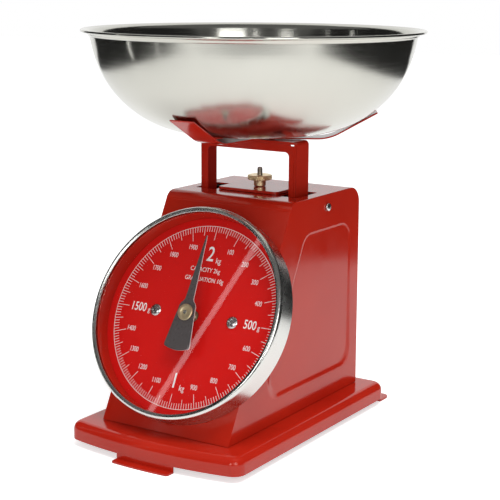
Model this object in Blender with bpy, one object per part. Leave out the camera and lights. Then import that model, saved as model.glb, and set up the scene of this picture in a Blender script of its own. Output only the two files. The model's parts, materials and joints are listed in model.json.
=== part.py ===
"""Retro kitchen scale: a spring scale with a round dial on a sloping case and a lift-off bowl.

Metres, +Z up, -Y is the front. The origin is on the table under the middle of the scale.
"""

from math import atan2, ceil, cos, hypot, pi, radians, sin, sqrt, tan

import bmesh
import bpy
from mathutils import Matrix, Vector

MM = 0.001
GAP = 0.3 * MM  # between pieces that touch or run in each other
SHEET = 1.0 * MM  # the cover's and the base's sheet steel
PLATE = 1.5 * MM  # the chassis, the yoke and the carriage
STRIP = 1.2 * MM  # light brackets and the cradle

# Base pan
BASE_HALF_WIDTH = 66.5 * MM
BASE_REAR = 84.5 * MM
BASE_FRONT_CORNER = -109.6 * MM
BASE_BOW = 7.4 * MM  # how far the front bows out between its corners
BASE_SKIRT = 4.5 * MM
BASE_TOP = 16.4 * MM
BASE_EDGE_RADIUS = 7.0 * MM
BASE_CORNER_RADIUS = 9.0 * MM
FRONT_FOOT_LEFT = -28.0 * MM
FRONT_FOOT_RIGHT = 20.0 * MM
FRONT_FOOT_REACH = 6.0 * MM
REAR_FOOT_INNER = 49.5 * MM
REAR_FOOT_OUTER = 63.0 * MM
REAR_FOOT_REACH = 14.0 * MM

# Housing cover
TILT = radians(27.5)  # the front and the dial lean back from upright by this
HOUSING_SIDE_ROOM = 11.6 * MM  # from the yoke's legs out to the housing's sides
HOUSING_TOE = -96.3 * MM  # where the front meets the base
HOUSING_REAR = 69.9 * MM
HOUSING_TOP = 159.8 * MM
HOUSING_EDGE_RADIUS = 3.0 * MM
HOUSING_BROW_RADIUS = 9.0 * MM
HOUSING_BACK_RADIUS = 12.0 * MM
PANEL_DEPTH = 1.2 * MM
PANEL_SLOPE = 3.0 * MM
PANEL_BOTTOM = 35.0 * MM
PANEL_TOP = 138.0 * MM
PANEL_REAR = 57.5 * MM
PANEL_SETBACK = 30.0 * MM  # of the panel's front line behind the sloping front
PANEL_RADIUS = 10.0 * MM
SIDE_SCREW_Y = 24.2 * MM
SIDE_SCREW_HEIGHT = 151.0 * MM

# Top: the two slots for the yoke and the raised plate between them
SLOT_INNER_ROOM = 13.3 * MM  # inwards of the yoke's sides
SLOT_OUTER_ROOM = 3.1 * MM
SLOT_FRONT_ROOM = 2.8 * MM  # ahead of the yoke
SLOT_REAR_ROOM = 7.5 * MM
TOP_PLATE_HALF_WIDTH = 24.0 * MM
TOP_PLATE_FRONT = -0.5 * MM
TOP_PLATE_REAR = 39.5 * MM
TOP_PLATE_THICK = 1.7 * MM
TOP_PLATE_RADIUS = 4.0 * MM

# Dial and drum, measured along the dial's axis from the housing's front
DRUM_CLEARANCE = 5.744 * MM  # under the drum's back edge, above the base
DIAL_PLATE_THICK = 0.7 * MM
DIAL_FACE = 2.0 * MM
DIAL_PLATE_RADIUS = 69.2 * MM
DIAL_SCREW_SPACING = 60.4 * MM
DIAL_SCREW_HEAD_RADIUS = 3.5 * MM
DRUM_RADIUS = 71.2 * MM
DRUM_SHEET = 0.6 * MM
DRUM_DEPTH = 16.7 * MM
DRUM_STEPS = 56  # facets round the drum's pieces
BEZEL_EDGE_RADIUS = 2.0 * MM
BEZEL_OPENING = 66.3 * MM
SPACER_RADIUS = 67.0 * MM  # inner radius of the ring that holds the lens off the dial
LENS_THICK = 1.6 * MM
LENS_BACK = 13.6 * MM

PAN_RIM = 12.0 * MM  # height of the dial pan's rim
FRONT_BUSH_RADIUS = 3.5 * MM
REAR_BUSH_RADIUS = 3.0 * MM
BRACKET_HALF_WIDTH = 36.0 * MM
BRACKET_WALL = 16.0 * MM
BRACKET_DEPTH = 26.0 * MM
BRACKET_HEIGHT = 16.0 * MM

# Pointer, its shaft and the gearing
POINTER_OFFSET = 11.0 * MM
POINTER_THICK = 0.7 * MM
POINTER_TIP = 52.5 * MM
POINTER_TAIL = 25.0 * MM
POINTER_HUB_RADIUS = 5.5 * MM
POINTER_WAIST = 3.0 * MM
POINTER_TAIL_HALF_WIDTH = 10.0 * MM
SHAFT_RADIUS = 1.25 * MM
SHAFT_BACK = 31.0 * MM
GEAR_MODULE = 0.4 * MM
PINION_TEETH = 9
TOOTH_SHARE = 0.21  # half a tooth's width at the pitch line, as a share of the pitch
PINION_FRONT = 8.0 * MM
PINION_LENGTH = 12.0 * MM
RACK_FRONT = 10.0 * MM
RACK_WIDTH = 5.0 * MM
RACK_THICK = 2.0 * MM
RACK_BELOW = 5.0 * MM
RACK_TOP = 32.0 * MM
RACK_RIVET_X = 4.5 * MM
RACK_RIVET_UP = 28.0 * MM
RACK_RIVET_RADIUS = 1.0 * MM

# Load side
TRAVEL = 12.8 * MM
YOKE_HALF_WIDTH = 37.9 * MM
YOKE_FRONT = 1.3 * MM
YOKE_DEPTH = 16.7 * MM
YOKE_FLANGE = 5.5 * MM
YOKE_TOP = 196.0 * MM
YOKE_BOTTOM = 54.0 * MM
YOKE_APRON = 7.0 * MM
YOKE_CORNER_RADIUS = 3.0 * MM
CRADLE_SHEET = 1.0 * MM
CRADLE_ARM_WIDTH = 18.5 * MM
CRADLE_REACH = 83.0 * MM
CRADLE_RISE = radians(29.0)
BOWL_CENTRE = 8.0 * MM
BOWL_RADIUS = 115.0 * MM
BOWL_WALL_RADIUS = 109.0 * MM
BOWL_FOOT_RADIUS = 37.0 * MM
BOWL_KNEE_RADIUS = 72.0 * MM
BOWL_BOTTOM = 200.2 * MM
BOWL_LIP = 264.8 * MM
BOWL_RIM = 268.8 * MM
BOWL_SHEET = 0.9 * MM

# Tare nut, rod and main spring
TARE_Y = 17.0 * MM
ROD_RADIUS = 1.9 * MM
ROD_TOP = 175.0 * MM
NUT_HUB_RADIUS = 4.2 * MM
NUT_RADIUS = 8.4 * MM
NUT_DISC_BOTTOM = 166.5 * MM
NUT_TOP = 169.7 * MM
SPRING_RADIUS = 5.5 * MM  # of the wire's centre line
SPRING_WIRE = 1.4 * MM
SPRING_TURNS = 18.5
SPRING_PITCH = 1.9 * MM
SPRING_TOP = 112.0 * MM
PLUG_FLANGE = 2.0 * MM
PLUG_DEPTH = 7.0 * MM

# Chassis, links and carriage
CHEEK_FRONT = -12.0 * MM
CHEEK_REAR = 64.0 * MM
BRIDGE_TONGUE_HALF_WIDTH = 12.0 * MM
BRIDGE_REAR = 46.0 * MM
PIVOT_Y = 56.0 * MM
LINK_Y = 8.65 * MM
UPPER_LINK_HEIGHT = 130.0 * MM
LOWER_LINK_HEIGHT = 62.0 * MM
LINK_SIDE_ROOM = 3.9 * MM  # between a link and the yoke's leg
LINK_ROD_RADIUS = 1.5 * MM
CARRIAGE_EAR = 14.0 * MM
PIVOT_ROD_RADIUS = 2.0 * MM
LINK_HEIGHT = 8.0 * MM
LINK_END = 4.0 * MM
PLUG_STUD_RADIUS = 2.0 * MM
RACK_ARM_RISE = 22.7 * MM  # of its top above the dial's axis
RACK_ARM_HEIGHT = 12.0 * MM
RACK_ARM_RIVET_INSET = 3.5 * MM  # from the yoke's side
CARRIAGE_RIVET_Y = 9.65 * MM
CARRIAGE_FRONT = 4.5 * MM
CARRIAGE_REAR = 25.0 * MM
CRADLE_RIVET_X = 14.0 * MM
CRADLE_RIVET_Y = 10.5 * MM
RIVET_RADIUS = 1.5 * MM
CHASSIS_SCREW_X = 30.0 * MM
CHASSIS_SCREW_SETBACK = 10.0 * MM
SCREW_RADIUS = 2.0 * MM
SCREW_HEAD_RADIUS = 3.6 * MM
SCREW_HEAD = 1.8 * MM

# Places worked out from the sizes above
BASE_FRONT = BASE_FRONT_CORNER - BASE_BOW
BOW_RADIUS = (BASE_HALF_WIDTH**2 + BASE_BOW**2) / (2 * BASE_BOW)
HOUSING_HALF_WIDTH = YOKE_HALF_WIDTH + HOUSING_SIDE_ROOM
HOUSING_BOTTOM = BASE_TOP + GAP
DIAL_HEIGHT = BASE_TOP + DRUM_CLEARANCE + DRUM_RADIUS * cos(TILT)  # where its axis meets the front
SLOT_INNER = YOKE_HALF_WIDTH - SLOT_INNER_ROOM
SLOT_OUTER = YOKE_HALF_WIDTH + SLOT_OUTER_ROOM
SLOT_FRONT = YOKE_FRONT - SLOT_FRONT_ROOM
SLOT_REAR = YOKE_FRONT + YOKE_DEPTH + SLOT_REAR_ROOM
CHASSIS_FLOOR = BASE_TOP + GAP
CHEEK_OUTER = HOUSING_HALF_WIDTH - SHEET - PANEL_DEPTH - GAP
CHEEK_INNER = CHEEK_OUTER - PLATE
BRIDGE_TOP = HOUSING_TOP - SHEET - GAP
CHEEK_TOP = BRIDGE_TOP - PLATE - GAP
TOP_PLATE_TOP = HOUSING_TOP + GAP + TOP_PLATE_THICK
YOKE_INNER = YOKE_HALF_WIDTH - PLATE
LINK_OUTER = YOKE_INNER - LINK_SIDE_ROOM
RACK_ARM_RIVET_X = YOKE_HALF_WIDTH - RACK_ARM_RIVET_INSET
RACK_ARM_TOP = DIAL_HEIGHT + RACK_ARM_RISE
CRADLE_BOTTOM = YOKE_TOP + GAP
LINK_DROP = TRAVEL / 2  # each link starts this far above level and ends as far below it
LINK_LENGTH = hypot(PIVOT_Y - LINK_Y, LINK_DROP)
LINK_LEAN = atan2(LINK_DROP, PIVOT_Y - LINK_Y)
PINION_RADIUS = GEAR_MODULE * PINION_TEETH / 2
PAN_RADIUS = DRUM_RADIUS - DRUM_SHEET - GAP
SPRING_START = SPRING_TOP - GAP - SPRING_WIRE / 2
SPRING_END = SPRING_START - SPRING_TURNS * SPRING_PITCH
SPRING_SEAT = SPRING_END - SPRING_WIRE / 2 - GAP
PLUG_RADIUS = SPRING_RADIUS - SPRING_WIRE / 2 - GAP
CARRIAGE_TOP = SPRING_SEAT - PLUG_FLANGE - GAP
CHASSIS_SCREWS = [
    (side * CHASSIS_SCREW_X, y)
    for side in (-1, 1)
    for y in (CHEEK_FRONT + CHASSIS_SCREW_SETBACK, CHEEK_REAR - CHASSIS_SCREW_SETBACK)
]


def front_y(z):
    """Y of the housing's sloping front at a height."""
    return HOUSING_TOE + (z - BASE_TOP) * tan(TILT)


# The dial's axis: local Z points out of the dial, local Y up its slope.
DIAL_FRAME = Matrix.Translation((0, front_y(DIAL_HEIGHT), DIAL_HEIGHT)) @ Matrix.Rotation(
    pi / 2 - TILT, 4, "X"
)


# --- Outlines -------------------------------------------------------------------------------------


def arc(centre, radius, start, end, steps):
    """Points of an arc, both ends included."""
    angles = [start + (end - start) * i / steps for i in range(steps + 1)]
    return [(centre[0] + radius * cos(a), centre[1] + radius * sin(a)) for a in angles]


def rounded(corners, radii, steps=4):
    """A polygon with its corners rounded; a radius of 0 leaves the corner sharp."""
    points = []
    for i, corner in enumerate(corners):
        here = Vector(corner)
        before = (Vector(corners[i - 1]) - here).normalized()
        after = (Vector(corners[(i + 1) % len(corners)]) - here).normalized()
        if not radii[i]:
            points.append(tuple(here))
            continue
        half = before.angle(after) / 2
        centre = here + (before + after).normalized() * radii[i] / sin(half)
        first = here + before * radii[i] / tan(half) - centre
        last = here + after * radii[i] / tan(half) - centre
        start = atan2(first.y, first.x)
        turn = (atan2(last.y, last.x) - start + pi) % (2 * pi) - pi
        points += arc(centre, radii[i], start, start + turn, steps)
    return points


def rectangle(x0, x1, y0, y1, radius=0.0, steps=4):
    return rounded([(x0, y0), (x1, y0), (x1, y1), (x0, y1)], [radius] * 4, steps)


def inset(points, distance):
    """The outline moved inwards by a distance, for outlines that run anticlockwise."""
    moved = []
    for i, point in enumerate(points):
        here = Vector(point)
        before = (here - Vector(points[i - 1])).normalized()
        after = (Vector(points[(i + 1) % len(points)]) - here).normalized()
        mitre = Vector((-before.y - after.y, before.x + after.x)).normalized()
        moved.append(tuple(here + mitre * distance / mitre.dot(Vector((-before.y, before.x)))))
    return moved


# --- Solids ---------------------------------------------------------------------------------------


def placed(name, bm, material, frame=None, smooth=30):
    """The finished object: faces out, smooth where they meet gently, at its frame."""
    bmesh.ops.recalc_face_normals(bm, faces=bm.faces)
    mesh = bpy.data.meshes.new(name)
    bm.to_mesh(mesh)
    bm.free()
    mesh.shade_smooth()
    mesh.set_sharp_from_angle(angle=radians(smooth))
    obj = bpy.data.objects.new(name, mesh)
    obj.matrix_world = frame or Matrix()
    bpy.context.collection.objects.link(obj)
    if material:
        mesh.materials.append(material)
    return obj


def loft(name, loops, material=None, frame=None):
    """A closed solid through loops of equally many 3-D points, capped at both ends."""
    bm = bmesh.new()
    rings = [[bm.verts.new(point) for point in loop] for loop in loops]
    for lower, upper in zip(rings, rings[1:]):
        for i in range(len(lower)):
            j = (i + 1) % len(lower)
            bm.faces.new((lower[i], lower[j], upper[j], upper[i]))
    bm.faces.new(rings[0])
    bm.faces.new(rings[-1])
    return placed(name, bm, material, frame)


def slab(name, outline, z0, z1, material=None, frame=None):
    """An outline in X and Y, extruded from z0 to z1."""
    return loft(name, [[(x, y, z) for x, y in outline] for z in (z0, z1)], material, frame)


def plate_x(name, outline, x0, x1, material=None):
    """An outline in Y and Z, extruded along X."""
    return loft(name, [[(x, y, z) for y, z in outline] for x in (x0, x1)], material)


def plate_y(name, outline, y0, y1, material=None):
    """An outline in X and Z, extruded along Y."""
    return loft(name, [[(x, y, z) for x, z in outline] for y in (y0, y1)], material)


def turned(name, profile, material=None, frame=None, steps=32):
    """A profile of (radius, height) points, turned about local Z; a radius of 0 lies on the axis."""
    bm = bmesh.new()
    verts = [bm.verts.new((radius, 0, height)) for radius, height in profile]
    edges = [bm.edges.new((verts[i - 1], verts[i])) for i in range(len(verts))]
    on_axis = [e for e in edges if all(v.co.x < 1e-7 for v in e.verts)]
    for edge in on_axis:
        bm.edges.remove(edge)
    swept = [e for e in edges if e not in on_axis]
    bmesh.ops.spin(
        bm,
        geom=verts + swept,
        axis=(0, 0, 1),
        cent=(0, 0, 0),
        angle=2 * pi,
        steps=steps,
        use_merge=True,
    )
    bmesh.ops.remove_doubles(bm, verts=bm.verts, dist=1e-6)
    return placed(name, bm, material, frame, smooth=40)


def rod(name, radius, length, material=None, frame=None, steps=12):
    """A plain round bar from local z = 0 up to its length."""
    return turned(name, [(0, 0), (radius, 0), (radius, length), (0, length)], material, frame, steps)


def screw(name, seat, direction, length, material, head=SCREW_HEAD_RADIUS, shank=SCREW_RADIUS):
    """A pan-head screw: its head stands on the seat, its shank goes down against the direction."""
    dome = head * 0.7
    profile = [
        (0, -length),
        (shank, -length),
        (shank, GAP),
        (head, GAP),
        (head, GAP + SCREW_HEAD * 0.5),
        (dome, GAP + SCREW_HEAD),
        (0, GAP + SCREW_HEAD),
    ]
    return turned(name, profile, material, Matrix.Translation(seat) @ facing(direction), steps=12)


def facing(direction):
    """The rotation that turns +Z to a direction."""
    return Vector((0, 0, 1)).rotation_difference(Vector(direction)).to_matrix().to_4x4()


def boolean(target, tool, operation="DIFFERENCE"):
    """Cut a hidden tool out of the target, or join it on."""
    modifier = target.modifiers.new(tool.name, "BOOLEAN")
    modifier.operation = operation
    modifier.solver = "EXACT"
    modifier.object = tool
    tool.hide_render = True
    tool.display_type = "WIRE"


def join(target, tool):
    boolean(target, tool, "UNION")


def hole(target, centre, direction, radius, length, steps=12):
    """A round hole through the target, centred on a point."""
    frame = Matrix.Translation(centre) @ facing(direction) @ Matrix.Translation((0, 0, -length / 2))
    boolean(target, rod(f"{target.name}_hole", radius, length, None, frame, steps))


def material(name, colour, roughness, metallic):
    made = bpy.data.materials.new(name)
    made.use_nodes = True
    shader = made.node_tree.nodes["Principled BSDF"]
    shader.inputs["Base Color"].default_value = (*colour, 1)
    shader.inputs["Roughness"].default_value = roughness
    shader.inputs["Metallic"].default_value = metallic
    return made


# --- Base pan -------------------------------------------------------------------------------------


def base_front_y(x):
    """Y of the base pan's bowed front edge."""
    return BASE_FRONT + BOW_RADIUS - sqrt(BOW_RADIUS**2 - x**2)


def bowed_edge(x0, x1, ahead, steps):
    """Points along the bowed front, moved ahead of it by a distance."""
    spots = [x0 + (x1 - x0) * i / steps for i in range(steps + 1)]
    return [(x, base_front_y(x) - ahead) for x in spots]


def base_outline():
    front = bowed_edge(-BASE_HALF_WIDTH, BASE_HALF_WIDTH, 0, 8)
    corners = front + [(BASE_HALF_WIDTH, BASE_REAR), (-BASE_HALF_WIDTH, BASE_REAR)]
    radii = [0] * len(corners)
    for i in (0, len(front) - 1, len(front), len(front) + 1):
        radii[i] = BASE_CORNER_RADIUS
    return rounded(corners, radii, steps=5)


def make_base_pan(paint):
    outline = base_outline()
    shoulder = BASE_TOP - BASE_EDGE_RADIUS
    quarter = [pi / 2 * i / 4 for i in range(5)]
    bend = BASE_EDGE_RADIUS - SHEET
    inside = [(SHEET + bend * (1 - cos(a)), shoulder + bend * sin(a)) for a in reversed(quarter)]
    outside = [(BASE_EDGE_RADIUS * (1 - cos(a)), shoulder + BASE_EDGE_RADIUS * sin(a)) for a in quarter]
    section = inside + [(SHEET, BASE_SKIRT), (0, BASE_SKIRT)] + outside
    loops = [[(x, y, z) for x, y in inset(outline, distance)] for distance, z in section]
    pan = loft("base_pan", loops, paint)
    add_front_foot(pan)
    for side in (-1, 1):
        add_rear_foot(pan, side)
    for x, y in CHASSIS_SCREWS:
        hole(pan, (x, y, BASE_TOP), (0, 0, 1), SCREW_RADIUS + GAP, 4 * SHEET)


def add_front_foot(pan):
    """A tab of the front skirt, bent forward along the table."""
    left, right = FRONT_FOOT_LEFT, FRONT_FOOT_RIGHT
    back = bowed_edge(right, left, -0.9 * SHEET, 6)
    lip = bowed_edge(left, right, FRONT_FOOT_REACH, 6)
    radii = [0] * len(back) + [FRONT_FOOT_REACH * 0.8] + [0] * (len(lip) - 2) + [FRONT_FOOT_REACH * 0.8]
    join(pan, slab("front_foot", rounded(back + lip, radii), 0, STRIP))
    face = bowed_edge(left, right, -0.1 * SHEET, 6)
    join(pan, slab("front_foot_wall", back + face, 0, BASE_SKIRT + PLATE))


def add_rear_foot(pan, side):
    """A lug of the rear skirt, bent backward along the table."""
    x0, x1 = sorted((side * REAR_FOOT_INNER, side * REAR_FOOT_OUTER))
    y0 = BASE_REAR - 0.9 * SHEET
    y1 = BASE_REAR - 0.1 * SHEET
    tip = BASE_REAR + REAR_FOOT_REACH
    corners = [(x0, y0), (x1, y0), (x1, tip), (x0, tip)]
    outline = rounded(corners, [0, 0, 5 * MM, 5 * MM])
    join(pan, slab(f"rear_foot_{side}", outline, 0, PLATE))
    join(pan, slab(f"rear_foot_wall_{side}", rectangle(x0, x1, y0, y1), 0, BASE_SKIRT + PLATE))


# --- Housing cover --------------------------------------------------------------------------------


def side_outline(shrink):
    """The housing's side view, moved inwards at the front, top and back."""
    top = HOUSING_TOP - shrink
    ahead = shrink / cos(TILT)
    corners = [
        (front_y(HOUSING_BOTTOM) + ahead, HOUSING_BOTTOM),
        (HOUSING_REAR - shrink, HOUSING_BOTTOM),
        (HOUSING_REAR - shrink, top),
        (front_y(top) + ahead, top),
    ]
    return rounded(corners, [0, 0, HOUSING_BACK_RADIUS - shrink, HOUSING_BROW_RADIUS - shrink], steps=5)


def housing_block(name, shrink, drop, material=None):
    """The housing's full shape with rounded sides; its inside reaches down past the open bottom."""
    radius = HOUSING_EDGE_RADIUS - shrink
    flank = HOUSING_HALF_WIDTH - HOUSING_EDGE_RADIUS
    quarter = [pi / 2 * i / 3 for i in range(4)]
    stations = [(flank + radius * sin(a), radius * (1 - cos(a))) for a in quarter]
    loops = []
    for side, row in ((-1, reversed(stations)), (1, stations)):
        for x, curl in row:
            outline = side_outline(shrink + curl)
            floor = [(y, z - drop if z < HOUSING_BOTTOM + GAP else z) for y, z in outline]
            loops.append([(side * x, y, z) for y, z in floor])
    return loft(name, loops, material)


def panel_outline(shrink):
    """The recessed panel on the housing's side."""
    bottom = PANEL_BOTTOM + shrink
    top = PANEL_TOP - shrink
    rear = PANEL_REAR - shrink
    ahead = PANEL_SETBACK + shrink / cos(TILT)
    corners = [
        (front_y(bottom) + ahead, bottom),
        (rear, bottom),
        (rear, top),
        (front_y(top) + ahead, top),
    ]
    return rounded(corners, [PANEL_RADIUS - shrink] * 4, steps=4)


def panel_recess(name, side, depth_in):
    """The block that sinks one side's panel; depth_in moves it in by the sheet, for the inner face."""
    surface = HOUSING_HALF_WIDTH - depth_in
    slope = PANEL_SLOPE / PANEL_DEPTH
    wide = [(side * (surface + PANEL_DEPTH), y, z) for y, z in panel_outline(-slope * PANEL_DEPTH)]
    floor = [(side * (surface - PANEL_DEPTH), y, z) for y, z in panel_outline(slope * PANEL_DEPTH)]
    return loft(name, [wide, floor])


def make_housing_cover(paint):
    cover = housing_block("housing_cover", 0, 0, paint)
    hollow = housing_block("housing_hollow", SHEET, SHEET)
    for side in (-1, 1):
        boolean(cover, panel_recess(f"panel_{side}", side, 0))
        boolean(hollow, panel_recess(f"panel_inner_{side}", side, SHEET))
    boolean(cover, hollow)
    for side in (-1, 1):
        x0, x1 = sorted((side * SLOT_INNER, side * SLOT_OUTER))
        outline = rectangle(x0, x1, SLOT_FRONT, SLOT_REAR, 1.5 * MM, steps=2)
        boolean(cover, slab(f"yoke_slot_{side}", outline, HOUSING_TOP - 3 * SHEET, HOUSING_TOP + SHEET))
        hole(cover, (side * HOUSING_HALF_WIDTH, SIDE_SCREW_Y, SIDE_SCREW_HEIGHT), (1, 0, 0),
             SCREW_RADIUS + GAP, 4 * SHEET)
    drill_dial_holes(cover)
    hole(cover, (0, TARE_Y, HOUSING_TOP), (0, 0, 1), ROD_RADIUS + 2 * GAP, 4 * SHEET)


def make_side_screw(name, side, steel):
    seat = (side * HOUSING_HALF_WIDTH, SIDE_SCREW_Y, SIDE_SCREW_HEIGHT)
    length = HOUSING_HALF_WIDTH - CHEEK_INNER + PLATE
    screw(name, seat, (side, 0, 0), length, steel, head=2.8 * MM)


def make_top_plate(paint):
    """The raised plate between the slots, with a rounded top edge."""
    outline = rectangle(
        -TOP_PLATE_HALF_WIDTH, TOP_PLATE_HALF_WIDTH, TOP_PLATE_FRONT, TOP_PLATE_REAR, TOP_PLATE_RADIUS
    )
    edge = TOP_PLATE_THICK / 2
    section = [(0, HOUSING_TOP + GAP), (0, TOP_PLATE_TOP - edge), (edge * 0.3, TOP_PLATE_TOP - edge * 0.3)]
    section.append((edge, TOP_PLATE_TOP))
    loops = [[(x, y, z) for x, y in inset(outline, distance)] for distance, z in section]
    plate = loft("top_plate", loops, paint)
    hole(plate, (0, TARE_Y, TOP_PLATE_TOP), (0, 0, 1), ROD_RADIUS + 2 * GAP, 4 * TOP_PLATE_THICK)


# --- Dial and drum --------------------------------------------------------------------------------


def on_dial(x, up, ahead):
    """A point given across the dial, up its slope and ahead of the housing's front."""
    return DIAL_FRAME @ Vector((x, up, ahead))


def dial_hole(target, x, radius):
    """A hole along the dial's axis, through a piece near the housing's front."""
    frame = DIAL_FRAME @ Matrix.Translation((x, 0, -4 * DIAL_FACE))
    boolean(target, rod(f"{target.name}_hole", radius, 8 * DIAL_FACE, None, frame))


def drill_dial_holes(target):
    """The three holes of every layer of the dial: the front bush and the two dial screws."""
    dial_hole(target, 0, FRONT_BUSH_RADIUS + GAP)
    drill_screw_holes(target)


def drill_screw_holes(target):
    for side in (-1, 1):
        dial_hole(target, side * DIAL_SCREW_SPACING / 2, SCREW_RADIUS + GAP)


def make_dial_pan(paint):
    """The dish that closes the drum's back and carries the dial."""
    back = GAP
    floor = DIAL_FACE - DIAL_PLATE_THICK - GAP
    rim = PAN_RADIUS - DRUM_SHEET
    profile = [
        (0, back),
        (PAN_RADIUS - MM, back),
        (PAN_RADIUS, back + MM),
        (PAN_RADIUS, PAN_RIM),
        (rim, PAN_RIM),
        (rim, floor + GAP),
        (rim - GAP, floor),
        (0, floor),
    ]
    pan = turned("dial_pan", profile, paint, DIAL_FRAME, steps=DRUM_STEPS)
    drill_dial_holes(pan)


def make_dial_plate(paint):
    back = DIAL_FACE - DIAL_PLATE_THICK
    profile = [(0, back), (DIAL_PLATE_RADIUS, back), (DIAL_PLATE_RADIUS, DIAL_FACE), (0, DIAL_FACE)]
    dial = turned("dial_plate", profile, paint, DIAL_FRAME, steps=DRUM_STEPS)
    drill_dial_holes(dial)


def make_dial_screw(name, side, steel):
    seat = on_dial(side * DIAL_SCREW_SPACING / 2, 0, DIAL_FACE)
    out = DIAL_FRAME.to_3x3() @ Vector((0, 0, 1))
    screw(name, seat, out, DIAL_FACE + SHEET + STRIP + PLATE, steel, head=DIAL_SCREW_HEAD_RADIUS)


def make_spacer_ring(steel):
    """The bright ring that stands on the dial and carries the lens."""
    outer = SPACER_RADIUS + DRUM_SHEET
    foot, top = DIAL_FACE + GAP, LENS_BACK - GAP
    profile = [(SPACER_RADIUS, foot), (outer, foot), (outer, top), (SPACER_RADIUS, top)]
    turned("spacer_ring", profile, steel, DIAL_FRAME, steps=DRUM_STEPS)


def make_lens(clear):
    front = LENS_BACK + LENS_THICK
    profile = [(0, LENS_BACK), (PAN_RADIUS, LENS_BACK), (PAN_RADIUS, front), (0, front)]
    turned("lens", profile, clear, DIAL_FRAME, steps=DRUM_STEPS)


def make_bezel(steel):
    """The drum's wall, rolled over the lens at its front."""
    inner = DRUM_RADIUS - DRUM_SHEET
    bend = DRUM_DEPTH - BEZEL_EDGE_RADIUS
    centre = (DRUM_RADIUS - BEZEL_EDGE_RADIUS, bend)
    lip = LENS_BACK + LENS_THICK + GAP
    profile = [(inner, GAP), (DRUM_RADIUS, GAP)]
    profile += arc(centre, BEZEL_EDGE_RADIUS, 0, pi / 2, 3)
    profile += [(BEZEL_OPENING, lip + DRUM_SHEET), (BEZEL_OPENING, lip)]
    profile += arc(centre, BEZEL_EDGE_RADIUS - DRUM_SHEET, pi / 2, 0, 2)
    turned("bezel", profile, steel, DIAL_FRAME, steps=DRUM_STEPS)


def make_bearing_bracket(steel):
    """A hat-shaped strip behind the housing's front: two ears, two walls and a rear plate."""
    ear = -SHEET - GAP
    back = -BRACKET_DEPTH
    wide, narrow = BRACKET_HALF_WIDTH, BRACKET_WALL
    outer = [(-wide, ear), (-narrow + STRIP, ear), (-narrow + STRIP, back), (narrow - STRIP, back)]
    outer += [(narrow - STRIP, ear), (wide, ear)]
    inner = [(wide, ear - STRIP), (narrow, ear - STRIP), (narrow, back - STRIP), (-narrow, back - STRIP)]
    inner += [(-narrow, ear - STRIP), (-wide, ear - STRIP)]
    section = outer + inner
    half = BRACKET_HEIGHT / 2
    loops = [[(x, y, z) for x, z in section] for y in (-half, half)]
    bracket = loft("bearing_bracket", loops, steel, DIAL_FRAME)
    drill_screw_holes(bracket)
    frame = DIAL_FRAME @ Matrix.Translation((0, 0, back - 2 * STRIP))
    boolean(bracket, rod("rear_bush_hole", REAR_BUSH_RADIUS + GAP, 3 * STRIP, None, frame))


def make_front_bush(brass):
    """A flanged bush in the housing's front, level with the dial."""
    bore = SHAFT_RADIUS + GAP
    flange = -SHEET - GAP
    profile = [
        (bore, flange - STRIP),
        (FRONT_BUSH_RADIUS + 2 * MM, flange - STRIP),
        (FRONT_BUSH_RADIUS + 2 * MM, flange),
        (FRONT_BUSH_RADIUS, flange),
        (FRONT_BUSH_RADIUS, DIAL_FACE + GAP),
        (bore, DIAL_FACE + GAP),
    ]
    turned("front_bush", profile, brass, DIAL_FRAME, steps=14)


def make_rear_bush(brass):
    """A flanged bush in the bearing bracket's rear plate."""
    bore = SHAFT_RADIUS + GAP
    plate = -BRACKET_DEPTH
    profile = [
        (bore, plate - STRIP - GAP),
        (REAR_BUSH_RADIUS, plate - STRIP - GAP),
        (REAR_BUSH_RADIUS, plate + GAP),
        (REAR_BUSH_RADIUS + MM, plate + GAP),
        (REAR_BUSH_RADIUS + MM, plate + GAP + MM),
        (bore, plate + GAP + MM),
    ]
    turned("rear_bush", profile, brass, DIAL_FRAME, steps=14)


# --- Pointer and gearing --------------------------------------------------------------------------


def make_pointer(paint):
    """The pointer at zero: a long taper up to the scale and a flared tail that balances it."""
    tail = POINTER_TAIL
    right = [
        (0.35 * MM, POINTER_TIP),
        (POINTER_WAIST, POINTER_HUB_RADIUS),
        (POINTER_WAIST, -POINTER_HUB_RADIUS),
        (POINTER_TAIL_HALF_WIDTH, -tail + 2 * MM),
        (POINTER_TAIL_HALF_WIDTH - 3 * MM, -tail),
    ]
    outline = right + [(-x, y) for x, y in reversed(right)]
    pointer = slab("pointer", outline, POINTER_OFFSET, POINTER_OFFSET + POINTER_THICK, paint, DIAL_FRAME)
    frame = DIAL_FRAME @ Matrix.Translation((0, 0, POINTER_OFFSET - POINTER_THICK))
    boolean(pointer, rod("pointer_bore", SHAFT_RADIUS + GAP, 3 * POINTER_THICK, None, frame))


def make_pointer_hub(brass):
    """The cap that holds the pointer on its shaft."""
    foot = POINTER_OFFSET + POINTER_THICK + GAP
    top = LENS_BACK - 2 * GAP
    bore = SHAFT_RADIUS + GAP
    profile = [(bore, foot), (POINTER_HUB_RADIUS, foot), (POINTER_HUB_RADIUS, top - GAP)]
    profile += [(POINTER_HUB_RADIUS - GAP, top), (bore, top)]
    turned("pointer_hub", profile, brass, DIAL_FRAME, steps=20)


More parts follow.
